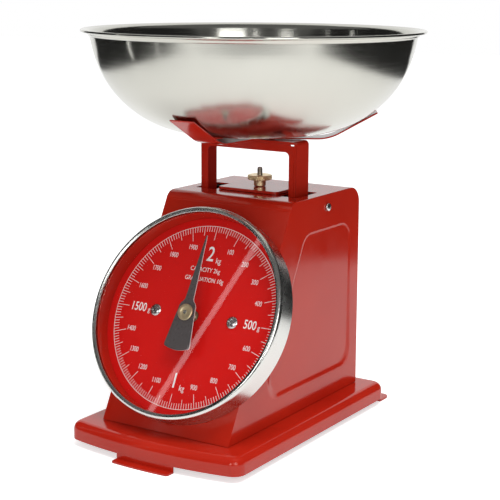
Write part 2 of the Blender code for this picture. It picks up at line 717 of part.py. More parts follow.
def make_pinion_shaft(steel):
    """The pointer's shaft with the pinion's teeth cut in it, narrowed by the backlash."""
    front = LENS_BACK - 2 * GAP
    profile = [(0, -SHAFT_BACK), (SHAFT_RADIUS, -SHAFT_BACK), (SHAFT_RADIUS, front), (0, front)]
    shaft = turned("pinion_shaft", profile, steel, DIAL_FRAME, steps=16)
    pitch = 2 * pi / PINION_TEETH
    outer = PINION_RADIUS + 0.9 * GEAR_MODULE
    root = PINION_RADIUS - 1.1 * GEAR_MODULE
    tip_half = 0.13 * pitch * PINION_RADIUS / outer
    flank = [(root, 0.30 * pitch), (PINION_RADIUS, TOOTH_SHARE * pitch), (outer, tip_half)]
    outline = []
    for i in range(PINION_TEETH):
        spots = [(r, -a) for r, a in flank] + [(r, a) for r, a in reversed(flank)]
        outline += [(r * cos(i * pitch + a), r * sin(i * pitch + a)) for r, a in spots]
    back = -PINION_FRONT - PINION_LENGTH
    join(shaft, slab("pinion", outline, back, -PINION_FRONT, None, DIAL_FRAME))


def make_shaft_clip(steel):
    """The clip that keeps the shaft in its rear bush."""
    back = -BRACKET_DEPTH - STRIP - 2 * GAP
    bore = SHAFT_RADIUS + GAP
    outer = SHAFT_RADIUS + 2 * MM
    profile = [(bore, back - MM), (outer, back - MM), (outer, back), (bore, back)]
    turned("shaft_clip", profile, steel, DIAL_FRAME, steps=16)


def make_rack(brass):
    """A strip along the dial's slope with teeth towards the shaft; it hangs on the rack arm."""
    pitch = pi * GEAR_MODULE
    tip = PINION_RADIUS - 0.9 * GEAR_MODULE
    root = PINION_RADIUS + 1.1 * GEAR_MODULE
    slope = tan(radians(20))
    pitch_half = TOOTH_SHARE * pitch
    tip_half = pitch_half - (PINION_RADIUS - tip) * slope
    root_half = pitch_half + (root - PINION_RADIUS) * slope
    teeth = ceil((RACK_BELOW + TRAVEL * cos(TILT) + 2 * pitch) / pitch)
    first = -(RACK_BELOW // pitch) - 0.5
    outline = []
    for i in range(teeth):
        middle = (first + i) * pitch
        outline += [(root, middle - root_half), (tip, middle - tip_half)]
        outline += [(tip, middle + tip_half), (root, middle + root_half)]
    back = PINION_RADIUS + RACK_WIDTH
    outline += [(root, RACK_TOP), (back, RACK_TOP), (back, outline[0][1] - pitch / 2)]
    outline += [(root, outline[0][1] - pitch / 2)]
    front = -RACK_FRONT
    rack = slab("rack", outline, front - RACK_THICK, front, brass, DIAL_FRAME)
    frame = DIAL_FRAME @ Matrix.Translation((RACK_RIVET_X, RACK_RIVET_UP, front - 2 * RACK_THICK))
    boolean(rack, rod("rack_rivet_hole", RACK_RIVET_RADIUS + GAP, 4 * RACK_THICK, None, frame))


def make_rack_arm(steel):
    """A strip across the yoke's legs with a tongue that reaches forward to the rack."""
    rear = YOKE_FRONT - GAP
    top = RACK_ARM_TOP
    width = YOKE_HALF_WIDTH - PLATE
    arm = slab("rack_arm", rectangle(-width, width, rear - STRIP, rear), top - RACK_ARM_HEIGHT, top, steel)
    near = RACK_FRONT + RACK_THICK + GAP
    foot = RACK_RIVET_UP - 3 * MM
    outline = []
    for behind, z in ((near, top), (near + STRIP, top - STRIP)):
        up = (z - DIAL_HEIGHT + behind * sin(TILT)) / cos(TILT)
        outline.append([(p.y, p.z) for p in (on_dial(0, foot, -behind), on_dial(0, up, -behind))])
    ear = outline[0] + [(rear, top), (rear, top - STRIP)] + outline[1][::-1]
    join(arm, plate_x("rack_tongue", ear, PINION_RADIUS, PINION_RADIUS + 1.4 * RACK_WIDTH))
    frame = DIAL_FRAME @ Matrix.Translation((RACK_RIVET_X, RACK_RIVET_UP, -near - 3 * STRIP))
    boolean(arm, rod("rack_arm_hole", RACK_RIVET_RADIUS + GAP, 4 * STRIP, None, frame))
    for side in (-1, 1):
        centre = (side * RACK_ARM_RIVET_X, rear, top - RACK_ARM_HEIGHT / 2)
        hole(arm, centre, (0, 1, 0), RIVET_RADIUS + GAP, 4 * STRIP)


def rivet(name, seat, direction, grip, radius, metal):
    """A rivet with a round head on its seat and a smaller one behind its grip."""
    head = 1.8 * radius
    profile = [
        (0, -grip - 0.6 * radius),
        (radius, -grip - 0.6 * radius),
        (1.4 * radius, -grip),
        (radius, -grip),
        (radius, GAP),
        (head, GAP),
        (head * 0.75, GAP + 0.55 * radius),
        (0, GAP + 0.8 * radius),
    ]
    turned(name, profile, metal, Matrix.Translation(seat) @ facing(direction), steps=10)


def make_load_rivets(steel):
    """The rivets of the rack, the rack arm and the carriage."""
    out = DIAL_FRAME.to_3x3() @ Vector((0, 0, 1))
    seat = on_dial(RACK_RIVET_X, RACK_RIVET_UP, -RACK_FRONT)
    rivet("rack_rivet", seat, out, RACK_THICK + STRIP + 2 * GAP, RACK_RIVET_RADIUS, steel)
    for side, label in ((-1, "left"), (1, "right")):
        seat = (side * RACK_ARM_RIVET_X, YOKE_FRONT - GAP - STRIP, RACK_ARM_TOP - RACK_ARM_HEIGHT / 2)
        rivet(f"rack_arm_rivet_{label}", seat, (0, -1, 0), STRIP + PLATE + 2 * GAP, RIVET_RADIUS, steel)
        seat = (side * YOKE_HALF_WIDTH, CARRIAGE_RIVET_Y, CARRIAGE_TOP + CARRIAGE_EAR / 2)
        rivet(f"carriage_rivet_{label}", seat, (side, 0, 0), 2 * PLATE + 2 * GAP, RIVET_RADIUS, steel)


# --- Yoke, cradle and bowl ------------------------------------------------------------------------


def gate(inner, lintel, outer_radius, inner_radius):
    """An upside-down U in X and Z, as wide and high as the yoke."""
    outer = YOKE_HALF_WIDTH
    corners = [
        (-outer, YOKE_BOTTOM),
        (-inner, YOKE_BOTTOM),
        (-inner, lintel),
        (inner, lintel),
        (inner, YOKE_BOTTOM),
        (outer, YOKE_BOTTOM),
        (outer, YOKE_TOP),
        (-outer, YOKE_TOP),
    ]
    radii = [0, 0, inner_radius, inner_radius, 0, 0, outer_radius, outer_radius]
    return rounded(corners, radii)


def make_yoke(paint):
    """Bent from one sheet: two webs and a top, with a flange turned in along the front."""
    webs = gate(YOKE_INNER, YOKE_TOP - PLATE, YOKE_CORNER_RADIUS, YOKE_CORNER_RADIUS - PLATE)
    yoke = plate_y("yoke", webs, YOKE_FRONT, YOKE_FRONT + YOKE_DEPTH, paint)
    radius = YOKE_CORNER_RADIUS
    flange = gate(YOKE_HALF_WIDTH - YOKE_FLANGE, YOKE_TOP - YOKE_APRON, radius, radius)
    join(yoke, plate_y("yoke_flange", flange, YOKE_FRONT, YOKE_FRONT + PLATE))
    play = LINK_LENGTH - (PIVOT_Y - LINK_Y)
    reach = LINK_ROD_RADIUS + GAP
    for height in (UPPER_LINK_HEIGHT, LOWER_LINK_HEIGHT):
        low, high = height - reach, height + reach
        outline = rectangle(LINK_Y - play - reach, LINK_Y + reach, low, high, reach * 0.9)
        slot = plate_x(f"link_slot_{height:.3f}", outline, -2 * YOKE_HALF_WIDTH, 2 * YOKE_HALF_WIDTH)
        boolean(yoke, slot)
    for side in (-1, 1):
        centre = (side * CRADLE_RIVET_X, CRADLE_RIVET_Y, YOKE_TOP)
        hole(yoke, centre, (0, 0, 1), RIVET_RADIUS + GAP, 4 * PLATE)
        centre = (side * RACK_ARM_RIVET_X, YOKE_FRONT, RACK_ARM_TOP - RACK_ARM_HEIGHT / 2)
        hole(yoke, centre, (0, 1, 0), RIVET_RADIUS + GAP, 4 * PLATE)
        centre = (side * YOKE_HALF_WIDTH, CARRIAGE_RIVET_Y, CARRIAGE_TOP + CARRIAGE_EAR / 2)
        hole(yoke, centre, (1, 0, 0), RIVET_RADIUS + GAP, 4 * PLATE)


def make_cradle(paint):
    """A star of three arms, flat under the bowl's foot and bent up to lie along its curve."""
    top = CRADLE_BOTTOM + CRADLE_SHEET
    knee = BOWL_KNEE_RADIUS + GAP
    touch = BOWL_FOOT_RADIUS + knee * sin(CRADLE_RISE)
    touch_z = BOWL_BOTTOM + BOWL_KNEE_RADIUS - knee * cos(CRADLE_RISE)
    bend = touch - (touch_z - top) / tan(CRADLE_RISE)
    tip = (CRADLE_REACH, touch_z + (CRADLE_REACH - touch) * tan(CRADLE_RISE))
    under = (tip[0] + CRADLE_SHEET * sin(CRADLE_RISE), tip[1] - CRADLE_SHEET * cos(CRADLE_RISE))
    knuckle = bend + CRADLE_SHEET * tan(CRADLE_RISE / 2)
    side_view = [
        (-CRADLE_ARM_WIDTH / 2, CRADLE_BOTTOM),
        (knuckle, CRADLE_BOTTOM),
        under,
        tip,
        (bend, top),
        (-CRADLE_ARM_WIDTH / 2, top),
    ]
    arms = []
    for i in range(3):
        angle = 2 * pi * i / 3 - pi / 2
        turn = Matrix.Translation((0, BOWL_CENTRE, 0)) @ Matrix.Rotation(angle, 4, "Z")
        loops = []
        for y in (-CRADLE_ARM_WIDTH / 2, CRADLE_ARM_WIDTH / 2):
            loops.append([turn @ Vector((r, y, z)) for r, z in side_view])
        arms.append(loft(f"cradle_arm_{i}" if i else "cradle", loops, paint))
    for arm in arms[1:]:
        join(arms[0], arm)
    for side in (-1, 1):
        centre = (side * CRADLE_RIVET_X, CRADLE_RIVET_Y, top)
        hole(arms[0], centre, (0, 0, 1), RIVET_RADIUS + GAP, 4 * PLATE)


def make_bowl(steel):
    """Spun from sheet: a flat foot, one large curve, a steep wall and a flared lip."""
    sweep = 8
    wall_lean = radians(11)
    foot_centre = (BOWL_FOOT_RADIUS, BOWL_BOTTOM + BOWL_KNEE_RADIUS)
    lip_rise = BOWL_SHEET * 0.5
    outer = [(0, BOWL_BOTTOM)] + arc(foot_centre, BOWL_KNEE_RADIUS, -pi / 2, -wall_lean, sweep)
    outer += [(BOWL_WALL_RADIUS, BOWL_LIP), (BOWL_RADIUS, BOWL_RIM - lip_rise)]
    inner = [(BOWL_RADIUS - lip_rise, BOWL_RIM), (BOWL_WALL_RADIUS - BOWL_SHEET, BOWL_LIP + lip_rise)]
    inner += arc(foot_centre, BOWL_KNEE_RADIUS - BOWL_SHEET, -wall_lean, -pi / 2, sweep)
    inner += [(0, BOWL_BOTTOM + BOWL_SHEET)]
    turned("bowl", outer + inner, steel, Matrix.Translation((0, BOWL_CENTRE, 0)), steps=48)


# --- Chassis and links ----------------------------------------------------------------------------


def make_chassis(steel):
    """A U of sheet on the base pan: a floor and two cheeks that carry the links and the bridge."""
    outer, inner = CHEEK_OUTER, CHEEK_INNER
    floor = CHASSIS_FLOOR
    section = [
        (-outer, floor),
        (outer, floor),
        (outer, CHEEK_TOP),
        (inner, CHEEK_TOP),
        (inner, floor + PLATE),
        (-inner, floor + PLATE),
        (-inner, CHEEK_TOP),
        (-outer, CHEEK_TOP),
    ]
    chassis = plate_y("chassis", section, CHEEK_FRONT, CHEEK_REAR, steel)
    for height in (UPPER_LINK_HEIGHT, LOWER_LINK_HEIGHT):
        centre = (0, PIVOT_Y, height - LINK_DROP)
        hole(chassis, centre, (1, 0, 0), PIVOT_ROD_RADIUS + GAP, 4 * outer)
    hole(chassis, (0, SIDE_SCREW_Y, SIDE_SCREW_HEIGHT), (1, 0, 0), SCREW_RADIUS + GAP, 4 * outer)
    for x, y in CHASSIS_SCREWS:
        hole(chassis, (x, y, floor), (0, 0, 1), SCREW_RADIUS + GAP, 4 * PLATE)


def make_bridge(steel):
    """The plate across the cheeks that carries the tare nut through the top."""
    tongue = BRIDGE_TONGUE_HALF_WIDTH
    rear = BRIDGE_REAR
    front = SLOT_REAR + MM
    tip = TARE_Y - tongue
    outline = [(-CHEEK_OUTER, front), (-tongue, front), (-tongue, tip), (tongue, tip), (tongue, front)]
    outline += [(CHEEK_OUTER, front), (CHEEK_OUTER, rear), (-CHEEK_OUTER, rear)]
    bridge = slab("bridge", outline, BRIDGE_TOP - PLATE, BRIDGE_TOP, steel)
    hole(bridge, (0, TARE_Y, BRIDGE_TOP), (0, 0, 1), ROD_RADIUS + GAP, 4 * PLATE)


def make_link(name, height, steel):
    """A check link: two arms joined behind the pivot rod, drawn from the pivot along its lean."""
    outer, inner = LINK_OUTER, LINK_OUTER - PLATE
    back = 5 * MM
    reach = -LINK_LENGTH - LINK_END
    outline = [(-outer, back), (-outer, reach), (-inner, reach), (-inner, back - PLATE)]
    outline += [(inner, back - PLATE), (inner, reach), (outer, reach), (outer, back)]
    frame = Matrix.Translation((0, PIVOT_Y, height - LINK_DROP)) @ Matrix.Rotation(-LINK_LEAN, 4, "X")
    link = slab(name, outline, -LINK_HEIGHT / 2, LINK_HEIGHT / 2, steel, frame)
    pivot = frame @ Matrix.Translation((-2 * outer, 0, 0)) @ facing((1, 0, 0))
    boolean(link, rod(f"{name}_pivot_hole", PIVOT_ROD_RADIUS + GAP, 4 * outer, None, pivot))
    end = frame @ Matrix.Translation((-2 * outer, -LINK_LENGTH, 0)) @ facing((1, 0, 0))
    boolean(link, rod(f"{name}_end_hole", LINK_ROD_RADIUS + GAP, 4 * outer, None, end))
    half = YOKE_HALF_WIDTH + PLATE
    end = frame @ Matrix.Translation((-half, -LINK_LENGTH, 0)) @ facing((1, 0, 0))
    rod(f"{name}_rod", LINK_ROD_RADIUS, 2 * half, steel, end, steps=10)


def make_pivot_rod(name, height, steel):
    """The rod through both cheeks that a check link swings on."""
    frame = Matrix.Translation((-CHEEK_OUTER, PIVOT_Y, height - LINK_DROP)) @ facing((1, 0, 0))
    rod(name, PIVOT_ROD_RADIUS, 2 * CHEEK_OUTER, steel, frame)


def make_carriage_bar(steel):
    """The cross-member between the yoke's legs that the spring holds up."""
    outer = YOKE_INNER - GAP
    inner = outer - PLATE
    floor = CARRIAGE_TOP - PLATE
    ear = CARRIAGE_TOP + CARRIAGE_EAR
    section = [(-outer, floor), (outer, floor), (outer, ear), (inner, ear), (inner, CARRIAGE_TOP)]
    section += [(-inner, CARRIAGE_TOP), (-inner, ear), (-outer, ear)]
    bar = plate_y("carriage_bar", section, CARRIAGE_FRONT, CARRIAGE_REAR, steel)
    hole(bar, (0, TARE_Y, floor), (0, 0, 1), PLUG_STUD_RADIUS + GAP, 4 * PLATE)
    centre = (0, CARRIAGE_RIVET_Y, CARRIAGE_TOP + CARRIAGE_EAR / 2)
    hole(bar, centre, (1, 0, 0), RIVET_RADIUS + GAP, 4 * outer)


# --- Tare nut, rod and main spring ----------------------------------------------------------------


def on_rod(height):
    return Matrix.Translation((0, TARE_Y, height))


def make_tare_nut(brass):
    """A thumb nut: a disc on a hub that stands on the top plate."""
    bore = ROD_RADIUS + GAP
    foot = TOP_PLATE_TOP + GAP
    profile = [
        (bore, foot),
        (NUT_HUB_RADIUS, foot),
        (NUT_HUB_RADIUS, NUT_DISC_BOTTOM),
        (NUT_RADIUS, NUT_DISC_BOTTOM),
        (NUT_RADIUS, NUT_TOP),
        (bore, NUT_TOP),
    ]
    turned("tare_nut", profile, brass, on_rod(0), steps=24)


def make_tare_rod(brass):
    foot = SPRING_TOP - PLUG_DEPTH + MM
    tip = ROD_RADIUS * 0.7
    shoulder = ROD_TOP - 0.5 * MM
    profile = [(0, foot), (ROD_RADIUS, foot), (ROD_RADIUS, shoulder), (tip, ROD_TOP), (0, ROD_TOP)]
    turned("tare_rod", profile, brass, on_rod(0), steps=16)


def make_upper_plug(steel):
    """The plug screwed on the tare rod that the spring's top coils grip."""
    bore = ROD_RADIUS + GAP
    wide = SPRING_RADIUS + SPRING_WIRE / 2
    top = SPRING_TOP + PLUG_FLANGE
    foot = SPRING_TOP - PLUG_DEPTH
    profile = [(bore, foot), (PLUG_RADIUS, foot), (PLUG_RADIUS, SPRING_TOP), (wide, SPRING_TOP)]
    profile += [(wide, top), (bore, top)]
    turned("upper_spring_plug", profile, steel, on_rod(0), steps=14)


def make_lower_plug(steel):
    """The plug in the spring's bottom coils, with a stud through the carriage bar, and its nut."""
    wide = SPRING_RADIUS + SPRING_WIRE / 2
    floor = SPRING_SEAT - PLUG_FLANGE
    stud = CARRIAGE_TOP - PLATE - 5 * MM
    profile = [
        (0, stud),
        (PLUG_STUD_RADIUS, stud),
        (PLUG_STUD_RADIUS, floor),
        (wide, floor),
        (wide, SPRING_SEAT),
        (PLUG_RADIUS, SPRING_SEAT),
        (PLUG_RADIUS, SPRING_SEAT + PLUG_DEPTH),
        (0, SPRING_SEAT + PLUG_DEPTH),
    ]
    turned("lower_spring_plug", profile, steel, on_rod(0), steps=14)
    top = CARRIAGE_TOP - PLATE - GAP
    bore = PLUG_STUD_RADIUS + GAP
    wide = 2 * PLUG_STUD_RADIUS
    nut = [(bore, top - 3 * MM), (wide, top - 3 * MM), (wide, top), (bore, top)]
    turned("lower_plug_nut", nut, steel, on_rod(0), steps=6)


def make_main_spring(steel):
    """A tension spring: a round wire along a helix."""
    per_turn = 10
    count = ceil(SPRING_TURNS * per_turn)
    sides = 5
    loops = []
    rise = atan2(SPRING_PITCH, 2 * pi * SPRING_RADIUS)
    for i in range(count + 1):
        turn = 2 * pi * SPRING_TURNS * i / count
        height = SPRING_END + (SPRING_START - SPRING_END) * i / count
        centre = Vector((SPRING_RADIUS * cos(turn), TARE_Y + SPRING_RADIUS * sin(turn), height))
        out = Vector((cos(turn), sin(turn), 0))
        along = Vector((-sin(turn) * cos(rise), cos(turn) * cos(rise), sin(rise)))
        up = out.cross(along)
        ring = []
        for j in range(sides):
            angle = 2 * pi * j / sides
            ring.append(centre + (out * cos(angle) + up * sin(angle)) * SPRING_WIRE / 2)
        loops.append(ring)
    loft("main_spring", loops, steel)


# --- The scale ------------------------------------------------------------------------------------


def clear_scene():
    for obj in list(bpy.data.objects):
        bpy.data.objects.remove(obj)


def main():
    clear_scene()
    red = material("red_enamel", (0.42, 0.012, 0.008), 0.12, 0.0)
    zinc = material("zinc_plate", (0.62, 0.63, 0.64), 0.35, 1.0)
    polished = material("polished_steel", (0.72, 0.72, 0.72), 0.12, 1.0)
    stainless = material("stainless_steel", (0.66, 0.65, 0.63), 0.22, 1.0)
    brass = material("brass", (0.72, 0.50, 0.20), 0.22, 1.0)
    print_red = material("dial_print", (0.42, 0.02, 0.015), 0.4, 0.0)
    black = material("pointer_black", (0.03, 0.03, 0.035), 0.4, 0.0)
    clear = material("lens_clear", (0.95, 0.96, 0.96), 0.03, 0.0)
    sides = ((-1, "left"), (1, "right"))

    make_base_pan(red)
    make_housing_cover(red)
    make_top_plate(red)
    make_chassis(zinc)
    make_bridge(zinc)
    for i, (x, y) in enumerate(CHASSIS_SCREWS):
        screw(f"chassis_screw_{i + 1}", (x, y, BASE_TOP - SHEET), (0, 0, -1), 2 * PLATE + 2 * SHEET, zinc)
    make_pivot_rod("upper_pivot_rod", UPPER_LINK_HEIGHT, zinc)
    make_pivot_rod("lower_pivot_rod", LOWER_LINK_HEIGHT, zinc)
    make_link("upper_link", UPPER_LINK_HEIGHT, zinc)
    make_link("lower_link", LOWER_LINK_HEIGHT, zinc)

    make_dial_pan(red)
    make_dial_plate(print_red)
    make_spacer_ring(polished)
    make_lens(clear)
    make_bezel(polished)
    make_bearing_bracket(zinc)
    make_front_bush(brass)
    make_rear_bush(brass)
    make_pointer(black)
    make_pointer_hub(brass)
    make_pinion_shaft(polished)
    make_shaft_clip(zinc)
    for side, label in sides:
        make_side_screw(f"side_screw_{label}", side, polished)
        make_dial_screw(f"dial_screw_{label}", side, polished)

    make_rack(brass)
    make_rack_arm(zinc)
    make_carriage_bar(zinc)
    make_load_rivets(polished)
    make_yoke(red)
    make_cradle(red)
    for side, label in sides:
        seat = (side * CRADLE_RIVET_X, CRADLE_RIVET_Y, CRADLE_BOTTOM + CRADLE_SHEET)
        rivet(f"cradle_rivet_{label}", seat, (0, 0, 1), CRADLE_SHEET + PLATE + 2 * GAP, RIVET_RADIUS, red)
    make_bowl(stainless)

    make_tare_nut(brass)
    make_tare_rod(brass)
    make_upper_plug(zinc)
    make_lower_plug(zinc)
    make_main_spring(polished)


main()
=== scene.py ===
import json
from math import atan2, cos, degrees, hypot, pi, radians, sin, sqrt, tan

import bmesh
import bpy
from mathutils import Matrix, Vector


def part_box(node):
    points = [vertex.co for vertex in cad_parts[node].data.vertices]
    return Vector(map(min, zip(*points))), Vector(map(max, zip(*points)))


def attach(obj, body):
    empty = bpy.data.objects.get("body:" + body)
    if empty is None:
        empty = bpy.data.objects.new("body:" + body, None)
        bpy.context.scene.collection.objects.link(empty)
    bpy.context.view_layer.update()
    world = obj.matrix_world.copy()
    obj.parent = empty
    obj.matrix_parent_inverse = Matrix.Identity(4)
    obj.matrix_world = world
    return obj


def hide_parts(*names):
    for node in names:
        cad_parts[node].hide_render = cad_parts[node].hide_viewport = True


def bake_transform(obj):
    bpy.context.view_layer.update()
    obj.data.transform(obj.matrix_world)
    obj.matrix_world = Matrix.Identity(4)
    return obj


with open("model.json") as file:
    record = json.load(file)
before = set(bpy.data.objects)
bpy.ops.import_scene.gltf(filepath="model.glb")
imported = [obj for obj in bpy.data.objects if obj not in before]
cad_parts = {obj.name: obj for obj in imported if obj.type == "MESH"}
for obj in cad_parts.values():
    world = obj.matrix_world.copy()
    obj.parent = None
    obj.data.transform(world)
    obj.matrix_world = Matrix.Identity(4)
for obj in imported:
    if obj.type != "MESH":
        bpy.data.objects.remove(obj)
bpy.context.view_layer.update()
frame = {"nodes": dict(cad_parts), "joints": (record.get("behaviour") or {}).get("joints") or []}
scene = bpy.context.scene
mm = 0.001
print("frame loaded")


def newMaterial(name, **values):
    # values are the shader's own numbers, with _ for a space in a socket's name
    mat = bpy.data.materials.new(name)
    mat.use_nodes = True
    shader = mat.node_tree.nodes["Principled BSDF"]
    for socket, value in values.items():
        shader.inputs[socket.replace("_", " ")].default_value = value
    return mat, mat.node_tree, shader


def addNode(tree, kind, **values):
    node = tree.nodes.new(kind)
    for key, value in values.items():
        if key in node.inputs:
            node.inputs[key].default_value = value
        else:
            setattr(node, key, value)
    return node


def feed(node, socket, source):
    # joins an output to one input of a node
    node.id_data.links.new(source, node.inputs[socket])


def objectNoise(tree, scale, detail=3.0, stretch=(1, 1, 1)):
    # noise over the object's own coordinates, in metres
    coords = addNode(tree, "ShaderNodeTexCoord")
    mapping = addNode(tree, "ShaderNodeMapping", Scale=stretch)
    noise = addNode(tree, "ShaderNodeTexNoise", Scale=scale, Detail=detail)
    feed(mapping, "Vector", coords.outputs["Object"])
    feed(noise, "Vector", mapping.outputs["Vector"])
    return noise.outputs["Fac"]


def spread(tree, source, low, high, lowOut, highOut):
    node = addNode(tree, "ShaderNodeMapRange")
    limits = {"From Min": low, "From Max": high, "To Min": lowOut, "To Max": highOut}
    for socket, value in limits.items():
        node.inputs[socket].default_value = value
    feed(node, "Value", source)
    return node.outputs["Result"]


def blendColours(tree, source, first, second):
    node = addNode(tree, "ShaderNodeMix", data_type="RGBA")
    node.inputs["A"].default_value = (*first, 1)
    node.inputs["B"].default_value = (*second, 1)
    feed(node, "Factor", source)
    return node.outputs["Result"]


def bumpFrom(tree, shader, source, strength, distance):
    bump = addNode(tree, "ShaderNodeBump", Strength=strength, Distance=distance)
    feed(bump, "Height", source)
    feed(shader, "Normal", bump.outputs["Normal"])


enamelLook = {"colour": (0.46, 0.015, 0.006), "warm": (0.51, 0.020, 0.008), "gloss": 0.09, "dullest": 0.16}


def redEnamel():
    # stoved gloss paint with a faint orange peel and a few dust nibs
    mat, tree, shader = newMaterial("redEnamel", Specular_IOR_Level=0.42, Specular_Tint=(1, 0.93, 0.84, 1))
    drift = objectNoise(tree, 14, 2)
    tone = spread(tree, drift, 0.35, 0.65, 0, 1)
    colour = blendColours(tree, tone, enamelLook["colour"], enamelLook["warm"])
    feed(shader, "Base Color", colour)
    gloss = spread(tree, objectNoise(tree, 60, 3), 0.3, 0.7, enamelLook["gloss"], enamelLook["dullest"])
    feed(shader, "Roughness", gloss)
    bumpFrom(tree, shader, objectNoise(tree, 420, 2), 0.06, 0.00005)
    return mat


def brushedMetal(name, colour, roughness, scale, stretch, depth):
    # metal with fine lines along the long side of the stretch
    mat, tree, shader = newMaterial(name, Metallic=1)
    lines = objectNoise(tree, scale, 4, stretch)
    dark = tuple(c * 0.86 for c in colour)
    feed(shader, "Base Color", blendColours(tree, lines, dark, colour))
    gloss = spread(tree, lines, 0.25, 0.75, roughness * 0.7, roughness * 1.4)
    feed(shader, "Roughness", gloss)
    bumpFrom(tree, shader, lines, depth, 0.00003)
    return mat


def zincPlate():
    # pale plating with cloudy patches
    mat, tree, shader = newMaterial("zincPlate", Metallic=1)
    cloud = objectNoise(tree, 90, 5)
    colour = blendColours(tree, spread(tree, cloud, 0.3, 0.7, 0, 1), (0.42, 0.44, 0.46), (0.62, 0.63, 0.62))
    feed(shader, "Base Color", colour)
    feed(shader, "Roughness", spread(tree, cloud, 0.3, 0.7, 0.28, 0.45))
    bumpFrom(tree, shader, objectNoise(tree, 900, 2), 0.1, 0.00003)
    return mat


def turnedSteel(name, colour, roughness, centre, ringScale, depth):
    # concentric lines about an upright axis, as spinning or polishing leaves
    mat, tree, shader = newMaterial(name, Metallic=1, Anisotropic=0.75, Anisotropic_Rotation=0.25)
    coords = addNode(tree, "ShaderNodeTexCoord")
    mapping = addNode(tree, "ShaderNodeMapping", Location=tuple(-c for c in centre))
    feed(mapping, "Vector", coords.outputs["Object"])
    split = addNode(tree, "ShaderNodeSeparateXYZ")
    feed(split, "Vector", mapping.outputs["Vector"])
    flat = addNode(tree, "ShaderNodeCombineXYZ")
    feed(flat, "X", split.outputs["X"])
    feed(flat, "Y", split.outputs["Y"])
    radius = addNode(tree, "ShaderNodeVectorMath", operation="LENGTH")
    feed(radius, 0, flat.outputs["Vector"])
    ring = addNode(tree, "ShaderNodeCombineXYZ")
    feed(ring, "X", radius.outputs["Value"])
    feed(ring, "Z", split.outputs["Z"])
    noise = addNode(tree, "ShaderNodeTexNoise", Scale=ringScale, Detail=4)
    feed(noise, "Vector", ring.outputs["Vector"])
    rings = noise.outputs["Fac"]
    wear = objectNoise(tree, 35, 4)
    dark = tuple(c * 0.9 for c in colour)
    feed(shader, "Base Color", blendColours(tree, rings, dark, colour))
    gloss = addNode(tree, "ShaderNodeMath", operation="MULTIPLY")
    feed(gloss, 0, spread(tree, rings, 0.3, 0.7, roughness * 0.85, roughness * 1.2))
    feed(gloss, 1, spread(tree, wear, 0.3, 0.7, 0.85, 1.2))
    feed(shader, "Roughness", gloss.outputs[0])
    bumpFrom(tree, shader, rings, depth, 0.00002)
    around = addNode(tree, "ShaderNodeTangent", direction_type="RADIAL", axis="Z")
    feed(shader, "Tangent", around.outputs["Tangent"])
    return mat


def tarnishedBrass():
    # warm brass, browner and duller in patches
    mat, tree, shader = newMaterial("brass", Metallic=1)
    tarnish = objectNoise(tree, 160, 4)
    colour = blendColours(tree, spread(tree, tarnish, 0.35, 0.7, 0, 1), (1.0, 0.86, 0.56), (0.88, 0.70, 0.42))
    feed(shader, "Base Color", colour)
    feed(shader, "Roughness", spread(tree, tarnish, 0.3, 0.7, 0.34, 0.46))
    bumpFrom(tree, shader, objectNoise(tree, 1500, 2), 0.05, 0.00002)
    return mat


def printedDial(name, colour, roughness):
    # ink on a sheet, with the faint mottle of a screen print
    mat, tree, shader = newMaterial(name, Specular_IOR_Level=0.2)
    mottle = objectNoise(tree, 700, 3)
    shade = tuple(c * 0.9 for c in colour)
    feed(shader, "Base Color", blendColours(tree, mottle, shade, colour))
    feed(shader, "Roughness", spread(tree, mottle, 0.3, 0.7, roughness, roughness + 0.1))
    return mat


def clearLens():
    # a clear pane: what it mirrors grows towards its edge-on angles
    mat, tree, shader = newMaterial("clearLens", Base_Color=(1, 1, 1, 1), Transmission_Weight=1, IOR=1.45)
    smudge = spread(tree, objectNoise(tree, 25, 4), 0.45, 0.8, 0.006, 0.02)
    feed(shader, "Roughness", smudge)
    clear = addNode(tree, "ShaderNodeBsdfTransparent")
    light = addNode(tree, "ShaderNodeLightPath")
    mix = addNode(tree, "ShaderNodeMixShader")
    passing = addNode(tree, "ShaderNodeMath", operation="MAXIMUM")
    feed(passing, 0, light.outputs["Is Shadow Ray"])
    feed(passing, 1, light.outputs["Is Diffuse Ray"])
    feed(mix, "Fac", passing.outputs[0])
    feed(mix, 1, shader.outputs["BSDF"])
    feed(mix, 2, clear.outputs["BSDF"])
    feed(tree.nodes["Material Output"], "Surface", mix.outputs["Shader"])
    return mat


enamel = redEnamel()
zinc = zincPlate()
brass = tarnishedBrass()
bezelSteel = brushedMetal("bezelSteel", (0.72, 0.72, 0.69), 0.23, 60, (1, 1, 1), 0.0)
screwSteel = brushedMetal("screwSteel", (0.66, 0.66, 0.65), 0.22, 900, (1, 1, 1), 0.1)
springSteel = brushedMetal("springSteel", (0.5, 0.5, 0.52), 0.25, 500, (1, 1, 1), 0.1)
studSteel = brushedMetal("studSteel", (0.52, 0.49, 0.42), 0.42, 700, (1, 1, 1), 0.1)
stainless = turnedSteel("stainless", (0.60, 0.595, 0.54), 0.16, (0, 0.008, 0), 1500, 0.06)
dialRed = printedDial("dialRed", (0.74, 0.010, 0.008), 0.14)
dialWhite = printedDial("dialWhite", (0.98, 0.95, 0.93), 0.15)
pointerPaint = printedDial("pointerPaint", (0.085, 0.075, 0.075), 0.25)
lensClear = clearLens()
print("materials ready")

# carried-over parts are zinc plated, apart from these
otherFinish = {
    "dial_pan": enamel, "cradle_rivet_left": enamel, "cradle_rivet_right": enamel,
    "front_bush": brass, "rear_bush": brass, "rack": brass, "pinion_shaft": screwSteel,
}
for name, obj in frame["nodes"].items():
    obj.data.materials.clear()
    obj.data.materials.append(otherFinish.get(name, zinc))
print("carried-over parts dressed")


flatEnough = radians(0.5)  # faces this close to one plane count as one
hair = 0.01 * mm  # slack for tests on where an edge lies


